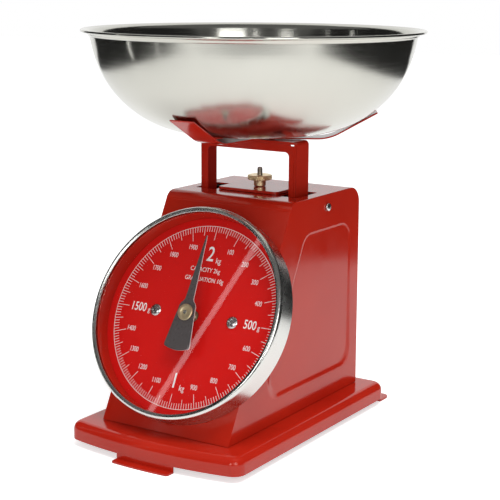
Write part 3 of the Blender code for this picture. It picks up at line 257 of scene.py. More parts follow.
def pick(*objs):
    if bpy.context.mode != "OBJECT":
        bpy.ops.object.mode_set(mode="OBJECT")
    bpy.ops.object.select_all(action="DESELECT")
    for obj in objs:
        obj.select_set(True)
    bpy.context.view_layer.objects.active = objs[0]


def settle(obj, place=Matrix()):
    # the object's place goes into its mesh
    bpy.context.view_layer.update()
    obj.matrix_world = place @ obj.matrix_world
    pick(obj)
    bpy.ops.object.transform_apply(location=True, rotation=True, scale=True)
    return obj


def twin(obj, place=Matrix()):
    other = obj.copy()
    other.data = obj.data.copy()
    scene.collection.objects.link(other)
    return settle(other, place)


def joinPieces(objs):
    pick(*objs)
    bpy.ops.object.join()
    return bpy.context.object


def applyModifier(obj, kind, **values):
    pick(obj)
    mod = obj.modifiers.new(kind.lower(), kind)
    for key, value in values.items():
        setattr(mod, key, value)
    bpy.ops.object.modifier_apply(modifier=mod.name)


def cut(obj, tool, operation="DIFFERENCE"):
    # cuts with, or joins on, a tool that is used up by it
    applyModifier(obj, "BOOLEAN", operation=operation, object=tool, solver="EXACT")
    bpy.data.objects.remove(tool)


def smooth(obj, angle=35):
    pick(obj)
    bpy.ops.object.shade_smooth_by_angle(angle=radians(angle))
    applyModifier(obj, "WEIGHTED_NORMAL", keep_sharp=True, weight=50)


def openForEdit(obj, kind):
    # edit mode with everything selected
    pick(obj)
    bpy.ops.object.mode_set(mode="EDIT")
    bpy.ops.mesh.select_mode(type=kind)
    bpy.ops.mesh.select_all(action="SELECT")


def chooseFaces(obj, wanted):
    # in edit mode, selects the faces that pass the test and no others
    shape = bmesh.from_edit_mesh(obj.data)
    for face in shape.faces:
        face.select_set(bool(wanted(face)))
    bmesh.update_edit_mesh(obj.data)


def facesOut(obj):
    pick(obj)
    bpy.ops.object.mode_set(mode="EDIT")
    bpy.ops.mesh.select_all(action="SELECT")
    bpy.ops.mesh.remove_doubles(threshold=0.000002)
    bpy.ops.mesh.normals_make_consistent(inside=False)
    bpy.ops.object.mode_set(mode="OBJECT")


def finishPiece(obj, name, mat, body, nodes=(), angle=35):
    obj.name = name
    obj.data.name = name
    obj.data.materials.clear()
    obj.data.materials.append(mat)
    smooth(obj, angle)
    if body:
        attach(obj, body)
    if nodes:
        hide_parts(*nodes)
    print("made", name)
    return obj


def rectangle(left, right, low, high):
    return [(left, low), (right, low), (right, high), (left, high)]


def bothWays(side, near, far):
    # two distances from the middle plane, on one side of it, in rising order
    return sorted((side * near, side * far))


def roundPoints(centre, radius, first, last, steps):
    # points of an arc in degrees, as (across, up)
    spots = [radians(first + (last - first) * i / steps) for i in range(steps + 1)]
    return [(centre[0] + radius * cos(a), centre[1] + radius * sin(a)) for a in spots]


def turnRing(profile, steps, closed=True):
    # a circle extruded and scaled from one (radius, height) to the next; radius 0 closes on the axis
    radius, height = profile[0]
    start = max(radius, 0.00001)
    bpy.ops.object.select_all(action="DESELECT")
    bpy.ops.mesh.primitive_circle_add(vertices=steps, radius=start, location=(0, 0, height))
    obj = bpy.context.object
    settle(obj)
    bpy.ops.object.mode_set(mode="EDIT")
    bpy.ops.mesh.select_all(action="SELECT")
    if radius == 0:
        bpy.ops.mesh.edge_face_add()
        bpy.ops.mesh.select_all(action="SELECT")
    current = start
    for radius, nextHeight in profile[1:] + (profile[:1] if closed else []):
        target = max(radius, 0.00001)
        bpy.ops.mesh.extrude_edges_move(TRANSFORM_OT_translate={"value": (0, 0, nextHeight - height)})
        factor = target / current
        bpy.ops.transform.resize(value=(factor, factor, 1), center_override=(0, 0, nextHeight))
        current, height = target, nextHeight
    if not closed and profile[-1][0] == 0:
        bpy.ops.mesh.edge_face_add()
    bpy.ops.object.mode_set(mode="OBJECT")
    facesOut(obj)
    return obj


def outlineSlab(points, low, high, name="slab"):
    # a flat outline drawn as a filled poly curve, thickened and made a mesh
    curve = bpy.data.curves.new(name, "CURVE")
    curve.dimensions = "2D"
    curve.fill_mode = "BOTH"
    curve.extrude = (high - low) / 2
    line = curve.splines.new("POLY")
    line.points.add(len(points) - 1)
    for spot, (x, y) in zip(line.points, points):
        spot.co = (x, y, 0, 1)
    line.use_cyclic_u = True
    obj = bpy.data.objects.new(name, curve)
    scene.collection.objects.link(obj)
    obj.location.z = (low + high) / 2
    pick(obj)
    bpy.ops.object.convert(target="MESH")
    obj = settle(bpy.context.object)
    facesOut(obj)
    return obj


def rounded(corners, radii, steps=6):
    # a polygon with its corners rounded
    points = []
    for i, corner in enumerate(corners):
        here = Vector(corner)
        before = (Vector(corners[i - 1]) - here).normalized()
        after = (Vector(corners[(i + 1) % len(corners)]) - here).normalized()
        if not radii[i]:
            points.append(tuple(here))
            continue
        half = before.angle(after) / 2
        centre = here + (before + after).normalized() * radii[i] / sin(half)
        first = here + before * radii[i] / tan(half) - centre
        last = here + after * radii[i] / tan(half) - centre
        start = atan2(first.y, first.x)
        turn = (atan2(last.y, last.x) - start + pi) % (2 * pi) - pi
        points += roundPoints(centre, radii[i], degrees(start), degrees(start + turn), steps)
    return points


def softEdges(obj, width, segments=3, angle=30):
    applyModifier(
        obj, "BEVEL", width=width, segments=segments, limit_method="ANGLE", angle_limit=radians(angle),
        miter_outer="MITER_ARC", use_clamp_overlap=True,
    )


def bevelEdges(obj, width, segments, wanted):
    # rounds the edges whose two ends pass the test
    openForEdit(obj, "EDGE")
    bpy.ops.mesh.dissolve_limited(angle_limit=flatEnough)
    bpy.ops.mesh.select_all(action="DESELECT")
    shape = bmesh.from_edit_mesh(obj.data)
    for edge in shape.edges:
        edge.select_set(all(wanted(corner.co) for corner in edge.verts))
    bmesh.update_edit_mesh(obj.data)
    bpy.ops.mesh.bevel(offset=width, segments=segments, affect="EDGES", clamp_overlap=True)
    bpy.ops.object.mode_set(mode="OBJECT")


turning = {joint["name"]: joint for joint in frame["joints"]}
dialAxis = Vector(turning["pointer_turn"]["axis"])
dialUp = dialAxis.cross(Vector((1, 0, 0)))
dialPlace = Matrix.Translation(turning["pointer_turn"]["pos_m"]) @ Matrix(
    ((1, 0, 0), tuple(dialUp), tuple(dialAxis))
).transposed().to_4x4()


def dialSpan(node):
    # lowest and highest of a node along the dial's axis
    verts = [dialPlace.inverted() @ v.co for v in frame["nodes"][node].data.vertices]
    return min(v.z for v in verts), max(v.z for v in verts)


def dialRadii(node):
    verts = [dialPlace.inverted() @ v.co for v in frame["nodes"][node].data.vertices]
    reach = [hypot(v.x, v.y) for v in verts]
    return min(reach), max(reach)


def slabAlongY(points, front, back):
    # an outline in X and Z, from front to back
    return settle(outlineSlab(points, -back, -front), Matrix.Rotation(pi / 2, 4, "X"))


def slabAlongX(points, left, right):
    # an outline in Y and Z, from left to right
    turn = Matrix(((0, 0, 1, 0), (1, 0, 0, 0), (0, 1, 0, 0), (0, 0, 0, 1)))
    return settle(outlineSlab(points, left, right), turn)


def drill(obj, centre, radius, length, axis="Z", steps=28):
    turn = {"X": (0, pi / 2, 0), "Y": (pi / 2, 0, 0), "Z": (0, 0, 0)}[axis]
    bpy.ops.mesh.primitive_cylinder_add(
        vertices=steps, radius=radius, depth=length, location=centre, rotation=turn,
    )
    cut(obj, bpy.context.object)


def helixTube(radius, wire, pitch, turns, steps=20, sides=10):
    # a round wire wound about the Z axis from z = 0 up
    bpy.ops.object.select_all(action="DESELECT")
    bpy.ops.mesh.primitive_circle_add(
        vertices=sides, radius=wire / 2, location=(radius, 0, 0), rotation=(pi / 2, 0, 0),
    )
    coil = settle(bpy.context.object)
    whole = int(turns)
    applyModifier(
        coil, "SCREW", axis="Z", angle=2 * pi * turns / whole, screw_offset=pitch * turns / whole,
        iterations=whole, steps=steps, render_steps=steps, use_merge_vertices=False, use_smooth_shade=True,
    )
    return coil


def closeEnds(tube):
    pick(tube)
    bpy.ops.object.mode_set(mode="EDIT")
    bpy.ops.mesh.select_all(action="SELECT")
    bpy.ops.mesh.fill_holes(sides=0)
    bpy.ops.object.mode_set(mode="OBJECT")
    facesOut(tube)


faceBack, faceFront = dialSpan("dial_plate")
ink = 0.04 * mm  # how far the print stands off the face
scaleLook = {
    "circle": 61.7 * mm, "line": 0.32 * mm, "short": 3.9 * mm, "middle": 6.4 * mm, "long": 9.5 * mm,
    "graduations": 200, "numbers": 47.9 * mm, "small": 3.5 * mm, "large": 6.0 * mm, "huge": 10.2 * mm,
    "unit": 4.0 * mm, "gram": 3.6 * mm, "words": 3.1 * mm, "bold": 0.12 * mm, "medium": 0.06 * mm,
    "capHeight": 0.73,
}


# the large numbers and the words: across and up in millimetres, size, squeeze and weight
dialWords = (
    ("2", 0.6, 42.2, scaleLook["huge"], 0.82, scaleLook["bold"]),
    ("kg", 7.6, 38.6, scaleLook["unit"], 0.85),
    ("1", -0.8, -43.8, scaleLook["huge"], 0.82, scaleLook["bold"]),
    ("kg", 6.0, -47.6, scaleLook["unit"], 0.85),
    ("500", 43.6, 0.3, scaleLook["large"], 0.78, scaleLook["medium"]),
    ("g", 50.4, -0.6, scaleLook["gram"], 0.85),
    ("1500", -44.4, 0.3, scaleLook["large"], 0.78, scaleLook["medium"]),
    ("g", -35.6, -0.6, scaleLook["gram"], 0.85),
    ("CAPACITY 2kg", -0.6, 31.6, scaleLook["words"], 0.86),
    ("GRADUATION 10g", 0.4, 25.0, scaleLook["words"], 0.86),
)


def dialText(text, x, y, size, squeeze, heavy=0.0):
    bpy.ops.object.select_all(action="DESELECT")
    bpy.ops.object.text_add(location=(0, 0, 0))
    obj = bpy.context.object
    obj.data.body = text
    obj.data.align_x = "CENTER"
    obj.data.align_y = "CENTER"
    obj.data.size = size / scaleLook["capHeight"]
    obj.data.offset = heavy
    obj.data.resolution_u = 4
    obj.scale.x = squeeze
    obj.location = (x, y, faceFront + ink)
    pick(obj)
    bpy.ops.object.convert(target="MESH")
    return settle(bpy.context.object)


def printTicks():
    look = scaleLook
    marks = []
    half = look["line"] / 2
    for every, length in ((1, look["short"]), (5, look["middle"]), (10, look["long"])):
        outline = rectangle(-half, half, look["circle"] - length, look["circle"])
        tick = outlineSlab(outline, faceFront + ink / 2, faceFront + ink)
        for i in range(look["graduations"]):
            kind = 10 if i % 10 == 0 else 5 if i % 5 == 0 else 1
            if kind == every:
                marks.append(twin(tick, Matrix.Rotation(-2 * pi * i / look["graduations"], 4, "Z")))
        bpy.data.objects.remove(tick)
    circle = rectangle(look["circle"] - half, look["circle"] + half, faceFront + ink / 2, faceFront + ink)
    return marks + [turnRing(circle, 240)]


def printNumbers():
    look = scaleLook
    marks = []
    reach = look["numbers"]
    for hundreds in range(1, 20):
        if hundreds % 5:
            angle = 2 * pi * hundreds / 20
            x, y = reach * sin(angle), reach * cos(angle)
            marks.append(dialText(str(hundreds * 100), x, y, look["small"], 0.74))
    for text, across, up, *style in dialWords:
        marks.append(dialText(text, across * mm, up * mm, *style))
    return marks


def printScale():
    scale = joinPieces(printTicks() + printNumbers())
    settle(scale, dialPlace)
    return finishPiece(scale, "dialScale", dialWhite, "base", angle=10)


dialSize = {"soft": 0.2 * mm, "bore": 3.8 * mm, "screwBore": 2.3 * mm, "screwsAt": 30.2 * mm}


def makeDialFace():
    # the plate with a softened edge, bored for the bush and the screws
    size = dialSize
    reach = dialRadii("dial_plate")[1]
    profile = [(0, faceBack), (reach, faceBack), (reach, faceFront - size["soft"])]
    profile += [(reach - size["soft"], faceFront), (0, faceFront)]
    plate = turnRing(profile, 160, closed=False)
    drill(plate, (0, 0, 0), size["bore"], 10 * mm, steps=40)
    for x in (-size["screwsAt"], size["screwsAt"]):
        drill(plate, (x, 0, 0), size["screwBore"], 10 * mm, steps=40)
    settle(plate, dialPlace)
    return finishPiece(plate, "dialFace", dialRed, "base", ("dial_plate",), 30)


bezelSize = {"openingSpare": 1.1 * mm, "sheet": 0.6 * mm, "roll": 2.6 * mm}


def makeBezel():
    # the drum's wall with a rolled front edge and a lip that dips towards the lens
    wide = dialRadii("bezel")[1]
    opening = dialRadii("bezel")[0] + bezelSize["openingSpare"]
    back, front = dialSpan("bezel")
    sheet, roll = bezelSize["sheet"], bezelSize["roll"]
    profile = [(wide - sheet, back), (wide - 0.1 * mm, back), (wide, back + 0.1 * mm)]
    profile += [(wide, back + 4 * mm), (wide, back + 9 * mm)]
    profile += roundPoints((wide - roll, front - roll), roll, 0, 90, 10)
    profile += [(opening + 0.7 * mm, front - 0.2 * mm), (opening + 0.15 * mm, front - 0.5 * mm)]
    profile += [(opening, front - 0.8 * mm), (opening, front - 1.05 * mm)]
    profile += [(opening + 0.4 * mm, front - 1.15 * mm)]
    profile += roundPoints((wide - roll, front - roll), roll - sheet, 90, 0, 6)
    bezel = turnRing(profile, 192)
    settle(bezel, dialPlace)
    return finishPiece(bezel, "bezelRing", bezelSteel, "base", ("bezel",), 25)


def makeSpacer():
    inner, outer = dialRadii("spacer_ring")
    back, front = dialSpan("spacer_ring")
    soft = 0.15 * mm
    profile = [(inner, back), (outer, back), (outer, front), (inner + soft, front), (inner, front - soft)]
    ring = turnRing(profile, 192)
    settle(ring, dialPlace)
    return finishPiece(ring, "spacerRing", enamel, "base", ("spacer_ring",), 25)


def makeLens():
    reach = dialRadii("lens")[1]
    back, front = dialSpan("lens")
    soft = 0.25 * mm
    profile = [(0, back), (reach - soft, back), (reach, back + soft)]
    profile += [(reach, front - soft), (reach - soft, front), (0, front)]
    lens = turnRing(profile, 160, closed=False)
    settle(lens, dialPlace)
    return finishPiece(lens, "lensPane", lensClear, "base", ("lens",), 30)


def crossHeadScrew(radius, height, shank):
    # a domed head with a cross recess, standing on z = 0
    crown = roundPoints((0, height - radius * 1.9), radius * 1.9, 90, 62, 6)
    dome = [(x, y) for x, y in crown if x < radius * 0.93]
    seat = 0.2 * mm
    profile = [(0, -shank), (radius * 0.5, -shank), (radius * 0.5, seat), (radius * 0.94, seat)]
    profile += [(radius, height * 0.28)]
    profile += [(x, y) for x, y in reversed(dome)]
    profile[-1] = (0, profile[-1][1])
    head = turnRing(profile, 40, closed=False)
    for turn in (0, pi / 2):
        bpy.ops.mesh.primitive_cube_add(size=1, location=(0, 0, height))
        slot = bpy.context.object
        slot.scale = (radius * 1.15, radius * 0.24, height * 1.3)
        slot.rotation_euler.z = turn + 0.5
        settle(slot)
        cut(head, slot)
    softEdges(head, 0.05 * mm, 1, 40)
    return head


def makeDialScrews():
    for side, label in ((-1, "left"), (1, "right")):
        head = crossHeadScrew(4.1 * mm, 1.9 * mm, 5 * mm)
        turn = Matrix.Rotation(0.6 * side + 0.3, 4, "Z")
        settle(head, dialPlace @ Matrix.Translation((side * dialSize["screwsAt"], 0, faceFront)) @ turn)
        nodes = (f"dial_screw_{label}",)
        finishPiece(head, f"dialScrew_{label}", screwSteel, "base", nodes, 30)


# in millimetres: across and up from the shaft
pointerSize = {"tip": 52.5, "tail": 25.2, "neck": (3.2, 9), "shoulder": (6.7, 1), "tailCorner": (9.9, -21.6)}


def makePointer():
    # a long needle, a round shoulder at the hub and a widening tail with an arched end
    size = pointerSize
    back, front = dialSpan("pointer")
    half = [(0.3, size["tip"]), (0.55, size["tip"] - 2.5), size["neck"], (4.0, 7.6), (5.4, 6.3), (6.4, 4.2)]
    half += [size["shoulder"], size["tailCorner"], (9.6, -23.2)]
    tailArc = roundPoints((0, 0), size["tail"], -68, -112, 12)
    outline = [(x * mm, y * mm) for x, y in half + tailArc + [(-x, y) for x, y in reversed(half)]]
    hand = outlineSlab(outline, back, front, "pointerHand")
    softEdges(hand, 0.12 * mm, 2, 40)
    settle(hand, dialPlace)
    finishPiece(hand, "pointerHand", pointerPaint, "pointer", ("pointer",), 30)
    hand.data.materials.append(dialWhite)  # the cut edge, coloured with white ink as a painted highlight where the bare edge catches the light
    # faces that stand edge-on to the dial get the white: a painted highlight along the pointer's rim
    for face in hand.data.polygons:
        face.material_index = int(abs(face.normal.dot(dialAxis)) < 0.5)
    return hand


def makePointerHub():
    # a turned cap with a dimpled crown
    reach = dialRadii("pointer_hub")[1]
    back, front = dialSpan("pointer_hub")
    bore, soft, dimple = 1.3 * mm, 0.5 * mm, 0.3 * mm
    profile = [(bore, back), (reach - 0.15 * mm, back), (reach, back + 0.15 * mm), (reach, front - soft)]
    profile += roundPoints((reach - soft, front - soft), soft, 0, 90, 5)
    profile += [(reach * 0.62, front - 0.02 * mm), (reach * 0.55, front - 0.25 * mm)]
    profile += [(reach * 0.3, front - dimple), (bore, front - dimple)]
    cap = turnRing(profile, 72)
    settle(cap, dialPlace)
    return finishPiece(cap, "pointerCap", brass, "pointer", ("pointer_hub",), 30)


printScale()
makeDialFace()
makeBezel()
makeSpacer()
makeLens()
makeDialScrews()
makePointer()
makePointerHub()
print("dial done")


bowlSize = {
    "foot": 37 * mm, "knee": 72 * mm, "lean": 11, "wall": 109 * mm, "sheet": 0.9 * mm, "bead": 0.9 * mm,
    "dish": 30 * mm, "dishEdge": 32 * mm, "dishRise": 0.5 * mm, "flare": 4.0 * mm,
}


def makeBowl():
    # spun from sheet: a dished foot, one large curve, a steep wall and a flared lip with a rolled edge
    low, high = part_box("bowl")
    size = bowlSize
    bottom, top, rim = low[2], high[2], (high[0] - low[0]) / 2
    centre = (size["foot"], bottom + size["knee"])
    bead = (rim - size["bead"], top - size["bead"])
    lip = (size["wall"] + 4.4 * mm, top - 5.4 * mm)
    raised = bottom + size["dishRise"]
    outer = [(0, raised), (size["dish"], raised), (size["dishEdge"], bottom)]
    outer += roundPoints(centre, size["knee"], -90, -size["lean"], 30)
    outer += [(size["wall"] - 0.15 * mm, top - 4.6 * mm)]
    outer += roundPoints(lip, size["flare"], 160, 108, 5)
    outer += roundPoints(bead, size["bead"], -70, 130, 9)
    inner = roundPoints(lip, size["flare"] + size["sheet"], 112, 166, 5)
    inner += roundPoints(centre, size["knee"] - size["sheet"], -size["lean"], -90, 30)
    inner += [(size["dishEdge"], bottom + size["sheet"]), (size["dish"], raised + size["sheet"])]
    inner += [(0, raised + size["sheet"])]
    bowl = turnRing(outer + inner, 192, closed=False)
    settle(bowl, Matrix.Translation(((low[0] + high[0]) / 2, (low[1] + high[1]) / 2, 0)))
    return finishPiece(bowl, "spunBowl", stainless, "bowl", ("bowl",), 40)


makeBowl()
print("bowl done")


housingSize = {
    "tilt": 27.5, "toe": -96.3 * mm, "toeHeight": 16.4 * mm, "brow": 9 * mm, "back": 12 * mm,
    "edge": 1.5 * mm, "sheet": 1 * mm, "panelLow": 35 * mm, "panelHigh": 138 * mm, "panelRear": 57.5 * mm,
    "panelAhead": 30 * mm, "panelCorner": 10 * mm, "panelDepth": 1.2 * mm, "panelSlope": 3.0 * mm,
    "panelFade": 0.0085, "slotInner": 24.6 * mm, "slotOuter": 41 * mm, "slotFront": -1.5 * mm,
    "slotRear": 25.5 * mm, "slotCorner": 1.5 * mm,
}


def slopeAt(height):
    # how far back the sloping front stands at a height
    return housingSize["toe"] + (height - housingSize["toeHeight"]) * tan(radians(housingSize["tilt"]))


def sideOutline(low, shrink):
    # the housing from the side, drawn in by the thickness of its sheet where asked
    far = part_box("housing_cover")[1]
    top, rear = far[2] - shrink, far[1] - shrink
    ahead = shrink / cos(radians(housingSize["tilt"]))
    corners = [(slopeAt(low) + ahead, low), (rear, low), (rear, top), (slopeAt(top) + ahead, top)]
    return rounded(corners, [0, 0, housingSize["back"] - shrink, housingSize["brow"] - shrink], 8)


def panelTool(side):
    # a block with a gently curved draft, which presses the panel into one flank
    size = housingSize
    low, high, rear, ahead = size["panelLow"], size["panelHigh"], size["panelRear"], size["panelAhead"]
    reach = size["panelSlope"]
    corners = [
        (slopeAt(low) + ahead - reach, low - reach), (rear + reach, low - reach),
        (rear + reach, high + reach), (slopeAt(high) + ahead - reach, high + reach),
    ]
    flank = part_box("housing_cover")[1][0]
    tool = slabAlongX(rounded(corners, [size["panelCorner"] + reach] * 4, 8), flank, flank + 3 * mm)
    openForEdit(tool, "FACE")
    bpy.ops.mesh.dissolve_limited(angle_limit=flatEnough)
    bpy.ops.mesh.select_all(action="DESELECT")
    chooseFaces(tool, lambda face: face.normal.x < -0.9)
    middle = (flank, (slopeAt((low + high) / 2) + ahead + rear) / 2, (low + high) / 2)
    halfLong, halfTall = rear + reach - middle[1] + 8 * mm, (high - low) / 2 + reach
    depth, inset, steps = 0, 0, 8
    for i in range(1, steps + 1):
        nextDepth = size["panelDepth"] * (1 - cos(pi * i / steps)) / 2
        nextInset = 2 * reach * i / steps
        narrower = (halfLong - nextInset) / (halfLong - inset)
        lower = (halfTall - nextInset) / (halfTall - inset)
        bpy.ops.mesh.extrude_region_move(TRANSFORM_OT_translate={"value": (depth - nextDepth, 0, 0)})
        bpy.ops.transform.resize(value=(1, narrower, lower), center_override=middle)
        depth, inset = nextDepth, nextInset
    bpy.ops.object.mode_set(mode="OBJECT")
    facesOut(tool)
    pick(tool)
    bpy.ops.transform.rotate(
        value=-size["panelFade"], orient_axis="Y", center_override=(flank, 0, low), orient_type="GLOBAL",
    )
    settle(tool)
    if side < 0:
        tool.scale.x = -1
        settle(tool)
        facesOut(tool)
    return tool


def makeHousing():
    # a folded cover: rounded solid, pressed at both flanks, then hollowed to its sheet and slotted
    size = housingSize
    low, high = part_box("housing_cover")
    flank = high[0]
    cover = slabAlongX(sideOutline(low[2], 0), -flank, flank)
    bevelEdges(cover, size["edge"], 5, lambda spot: abs(spot.x) > flank - hair and spot.z > low[2] + hair)
    for side in (-1, 1):
        cut(cover, panelTool(side))
    inner = flank - size["panelDepth"] - 1.15 * size["sheet"]
    cut(cover, slabAlongX(sideOutline(low[2] - 5 * mm, size["sheet"]), -inner, inner))
    for side in (-1, 1):
        across = bothWays(side, size["slotInner"], size["slotOuter"])
        corners = rectangle(*across, size["slotFront"], size["slotRear"])
        slot = rounded(corners, [size["slotCorner"]] * 4, 4)
        cut(cover, outlineSlab(slot, high[2] - 4 * mm, high[2] + 4 * mm))
    softEdges(cover, 0.25 * mm, 2, 50)
    return finishPiece(cover, "housingShell", enamel, "base", ("housing_cover",), 30)


def makeTopPlate():
    low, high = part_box("top_plate")
    corners = rectangle(low[0], high[0], low[1], high[1])
    plate = outlineSlab(rounded(corners, [4 * mm] * 4, 6), low[2], high[2])
    bevelEdges(plate, 0.8 * mm, 4, lambda spot: spot.z > high[2] - hair)
    rodLow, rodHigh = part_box("tare_rod")
    drill(plate, (0, (rodLow[1] + rodHigh[1]) / 2, high[2]), 2.3 * mm, 8 * mm)
    return finishPiece(plate, "topPlate", enamel, "base", ("top_plate",), 30)


makeHousing()
makeTopPlate()
print("housing done")


baseSize = {
    "bow": 7.4 * mm, "corner": 8.5 * mm, "edge": 5.8 * mm, "skirt": 4.5 * mm, "sheet": 1 * mm,
    "front": -117 * mm, "rear": 84.5 * mm, "footLeft": -22.6 * mm, "footRight": 21.6 * mm,
    "footReach": 6 * mm, "footSheet": 1.2 * mm, "footCorner": 1.8 * mm, "lugInner": 49.5 * mm,
    "lugOuter": 63 * mm, "lugReach": 14 * mm, "lugSheet": 1.5 * mm, "lugCorner": 5 * mm,
    "screwHoles": 15.9 * mm,
}


def bowedRow(first, last, ahead, steps):
    # points along the bowed front of the base, some way ahead of it
    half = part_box("base_pan")[1][0]
    bend = (half ** 2 + baseSize["bow"] ** 2) / (2 * baseSize["bow"])
    across = [first + (last - first) * i / steps for i in range(steps + 1)]
    return [(x, baseSize["front"] + bend - sqrt(bend ** 2 - x ** 2) - ahead) for x in across]


def baseShell():
    # the pan with its rounded top edge, open below, given its sheet's thickness
    size = baseSize
    half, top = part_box("base_pan")[1][0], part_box("base_pan")[1][2]
    inside = half - 1.6 * size["corner"]
    ends = bowedRow(-half, half, 0, 1)
    corners = ends[:1] + bowedRow(-inside, inside, 0, 20) + ends[1:]
    corners += [(half, size["rear"]), (-half, size["rear"])]
    radii = [size["corner"]] + [0] * 21 + [size["corner"]] * 3
    pan = outlineSlab(rounded(corners, radii, 8), size["skirt"], top)
    bevelEdges(pan, size["edge"], 9, lambda spot: spot.z > top - hair)
    openForEdit(pan, "FACE")
    bpy.ops.mesh.select_all(action="DESELECT")
    chooseFaces(pan, lambda face: face.normal.z < -0.9)
    bpy.ops.mesh.delete(type="FACE")
    bpy.ops.object.mode_set(mode="OBJECT")
    applyModifier(pan, "SOLIDIFY", thickness=size["sheet"], offset=-1)
    return pan


def makeBase():
    # drawn in one piece, with a tab turned out at the front and a lug at each rear corner
    size = baseSize
    pan = baseShell()
    inside, outside = 0.9 * size["sheet"], 0.02 * mm  # within the skirt's sheet, just short of both its faces
    riserLow, riserHigh = 0.2 * mm, size["skirt"] + 2 * mm
    back = bowedRow(size["footRight"], size["footLeft"], -inside, 8)
    lip = bowedRow(size["footLeft"], size["footRight"], size["footReach"], 8)
    radii = [0] * 9 + [size["footCorner"]] + [0] * 7 + [size["footCorner"]]
    foot = outlineSlab(rounded(back + lip, radii, 6), 0, size["footSheet"])
    softEdges(foot, 0.35 * mm, 2, 40)
    skin = bowedRow(size["footLeft"], size["footRight"], -outside, 8)
    wall = outlineSlab(back + skin, riserLow, riserHigh)
    cut(pan, foot, "UNION")
    cut(pan, wall, "UNION")
    for side in (-1, 1):
        across = bothWays(side, size["lugInner"], size["lugOuter"])
        near, tip = size["rear"] - inside, size["rear"] + size["lugReach"]
        shape = rounded(rectangle(*across, near, tip), [0, 0, size["lugCorner"], size["lugCorner"]], 6)
        lug = outlineSlab(shape, 0, size["lugSheet"])
        softEdges(lug, 0.35 * mm, 2, 40)
        cut(pan, lug, "UNION")
        riser = outlineSlab(rectangle(*across, near, size["rear"] - outside), riserLow, riserHigh)
        cut(pan, riser, "UNION")
    for name in ("chassis_screw_1", "chassis_screw_2", "chassis_screw_3", "chassis_screw_4"):
        low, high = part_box(name)
        middle = (low + high) / 2
        drill(pan, (middle[0], middle[1], size["screwHoles"]), 2.2 * mm, 6 * mm, steps=20)
    return finishPiece(pan, "basePan", enamel, "base", ("base_pan",), 30)


makeBase()
print("base done")


yokeSize = {
    "sheet": 1.5 * mm, "flange": 5.5 * mm, "apron": 7 * mm, "corner": 3 * mm, "bend": 1.2 * mm,
    "play": 0.3 * mm, "slotHalf": 1.75 * mm, "reliefInner": 4.8 * mm, "reliefOuter": 1.4 * mm,
    "reliefTop": 1.7 * mm, "reliefTall": 1.0 * mm,
}


def gateOutline(inner, lintel, outerRadius, innerRadius):
    # two posts and a lintel, seen from the front
    low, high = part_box("yoke")
    half, bottom, top = high[0], low[2], high[2]
    corners = [
        (-half, bottom), (-inner, bottom), (-inner, lintel), (inner, lintel),
        (inner, bottom), (half, bottom), (half, top), (-half, top),
    ]
    return rounded(corners, [0, 0, innerRadius, innerRadius, 0, 0, outerRadius, outerRadius], 6)


def makeYoke():
    # bent from one sheet: two webs and a lintel, with a flange turned in along the front
    size = yokeSize
    low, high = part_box("yoke")
    half, top, front = high[0], high[2], low[1]
    sheet, corner = size["sheet"], size["corner"]
    yoke = slabAlongY(gateOutline(half - sheet, top - sheet, corner, corner - sheet), front, high[1])
    flange = gateOutline(half - size["flange"], top - size["apron"], corner, corner)
    cut(yoke, slabAlongY(flange, front, front + sheet), "UNION")
    margin = corner + 0.1 * mm

    def onOuterFold(spot):
        return spot.y < front + hair and (abs(spot.x) > half - margin or spot.z > top - margin)

    bevelEdges(yoke, size["bend"], 4, onOuterFold)
    for side in (-1, 1):
        across = bothWays(side, half - size["reliefInner"], half - size["reliefOuter"])
        notchTop = top - size["reliefTop"]
        corners = rectangle(*across, notchTop - size["reliefTall"], notchTop)
        notch = rounded(corners, [0.3 * mm] * 4, 3)
        cut(yoke, slabAlongY(notch, front - 2 * mm, front + 3 * mm))
    for rod in ("upper_link_rod", "lower_link_rod"):
        first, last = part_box(rod)
        y, z = (first[1] + last[1]) / 2, (first[2] + last[2]) / 2
        reach = size["slotHalf"]
        corners = rectangle(y - size["play"] - reach, y + reach, z - reach, z + reach)
        cut(yoke, slabAlongX(rounded(corners, [reach * 0.9] * 4, 4), -2 * half, 2 * half))
    softEdges(yoke, 0.3 * mm, 2, 50)
    return finishPiece(yoke, "yokeFrame", enamel, "carriage", ("yoke",), 30)


makeYoke()


cradleSize = {
    "armWidth": 18.5 * mm, "rise": 29, "bendAt": 51 * mm, "bendRadius": 30 * mm, "reach": 83 * mm,
    "fillet": 14 * mm, "tipRadius": 2.5 * mm, "centre": 8 * mm, "sheet": 1 * mm,
}
armTurns = [radians(-90 + 120 * i) for i in range(3)]


def onArmSide(spot, half):
    # whether a point stands half an arm's width from the middle line of one of the arms
    offLines = [abs(spot.x * sin(arm) - spot.y * cos(arm)) for arm in armTurns]
    return any(abs(off - half) < 0.05 * mm for off in offLines)


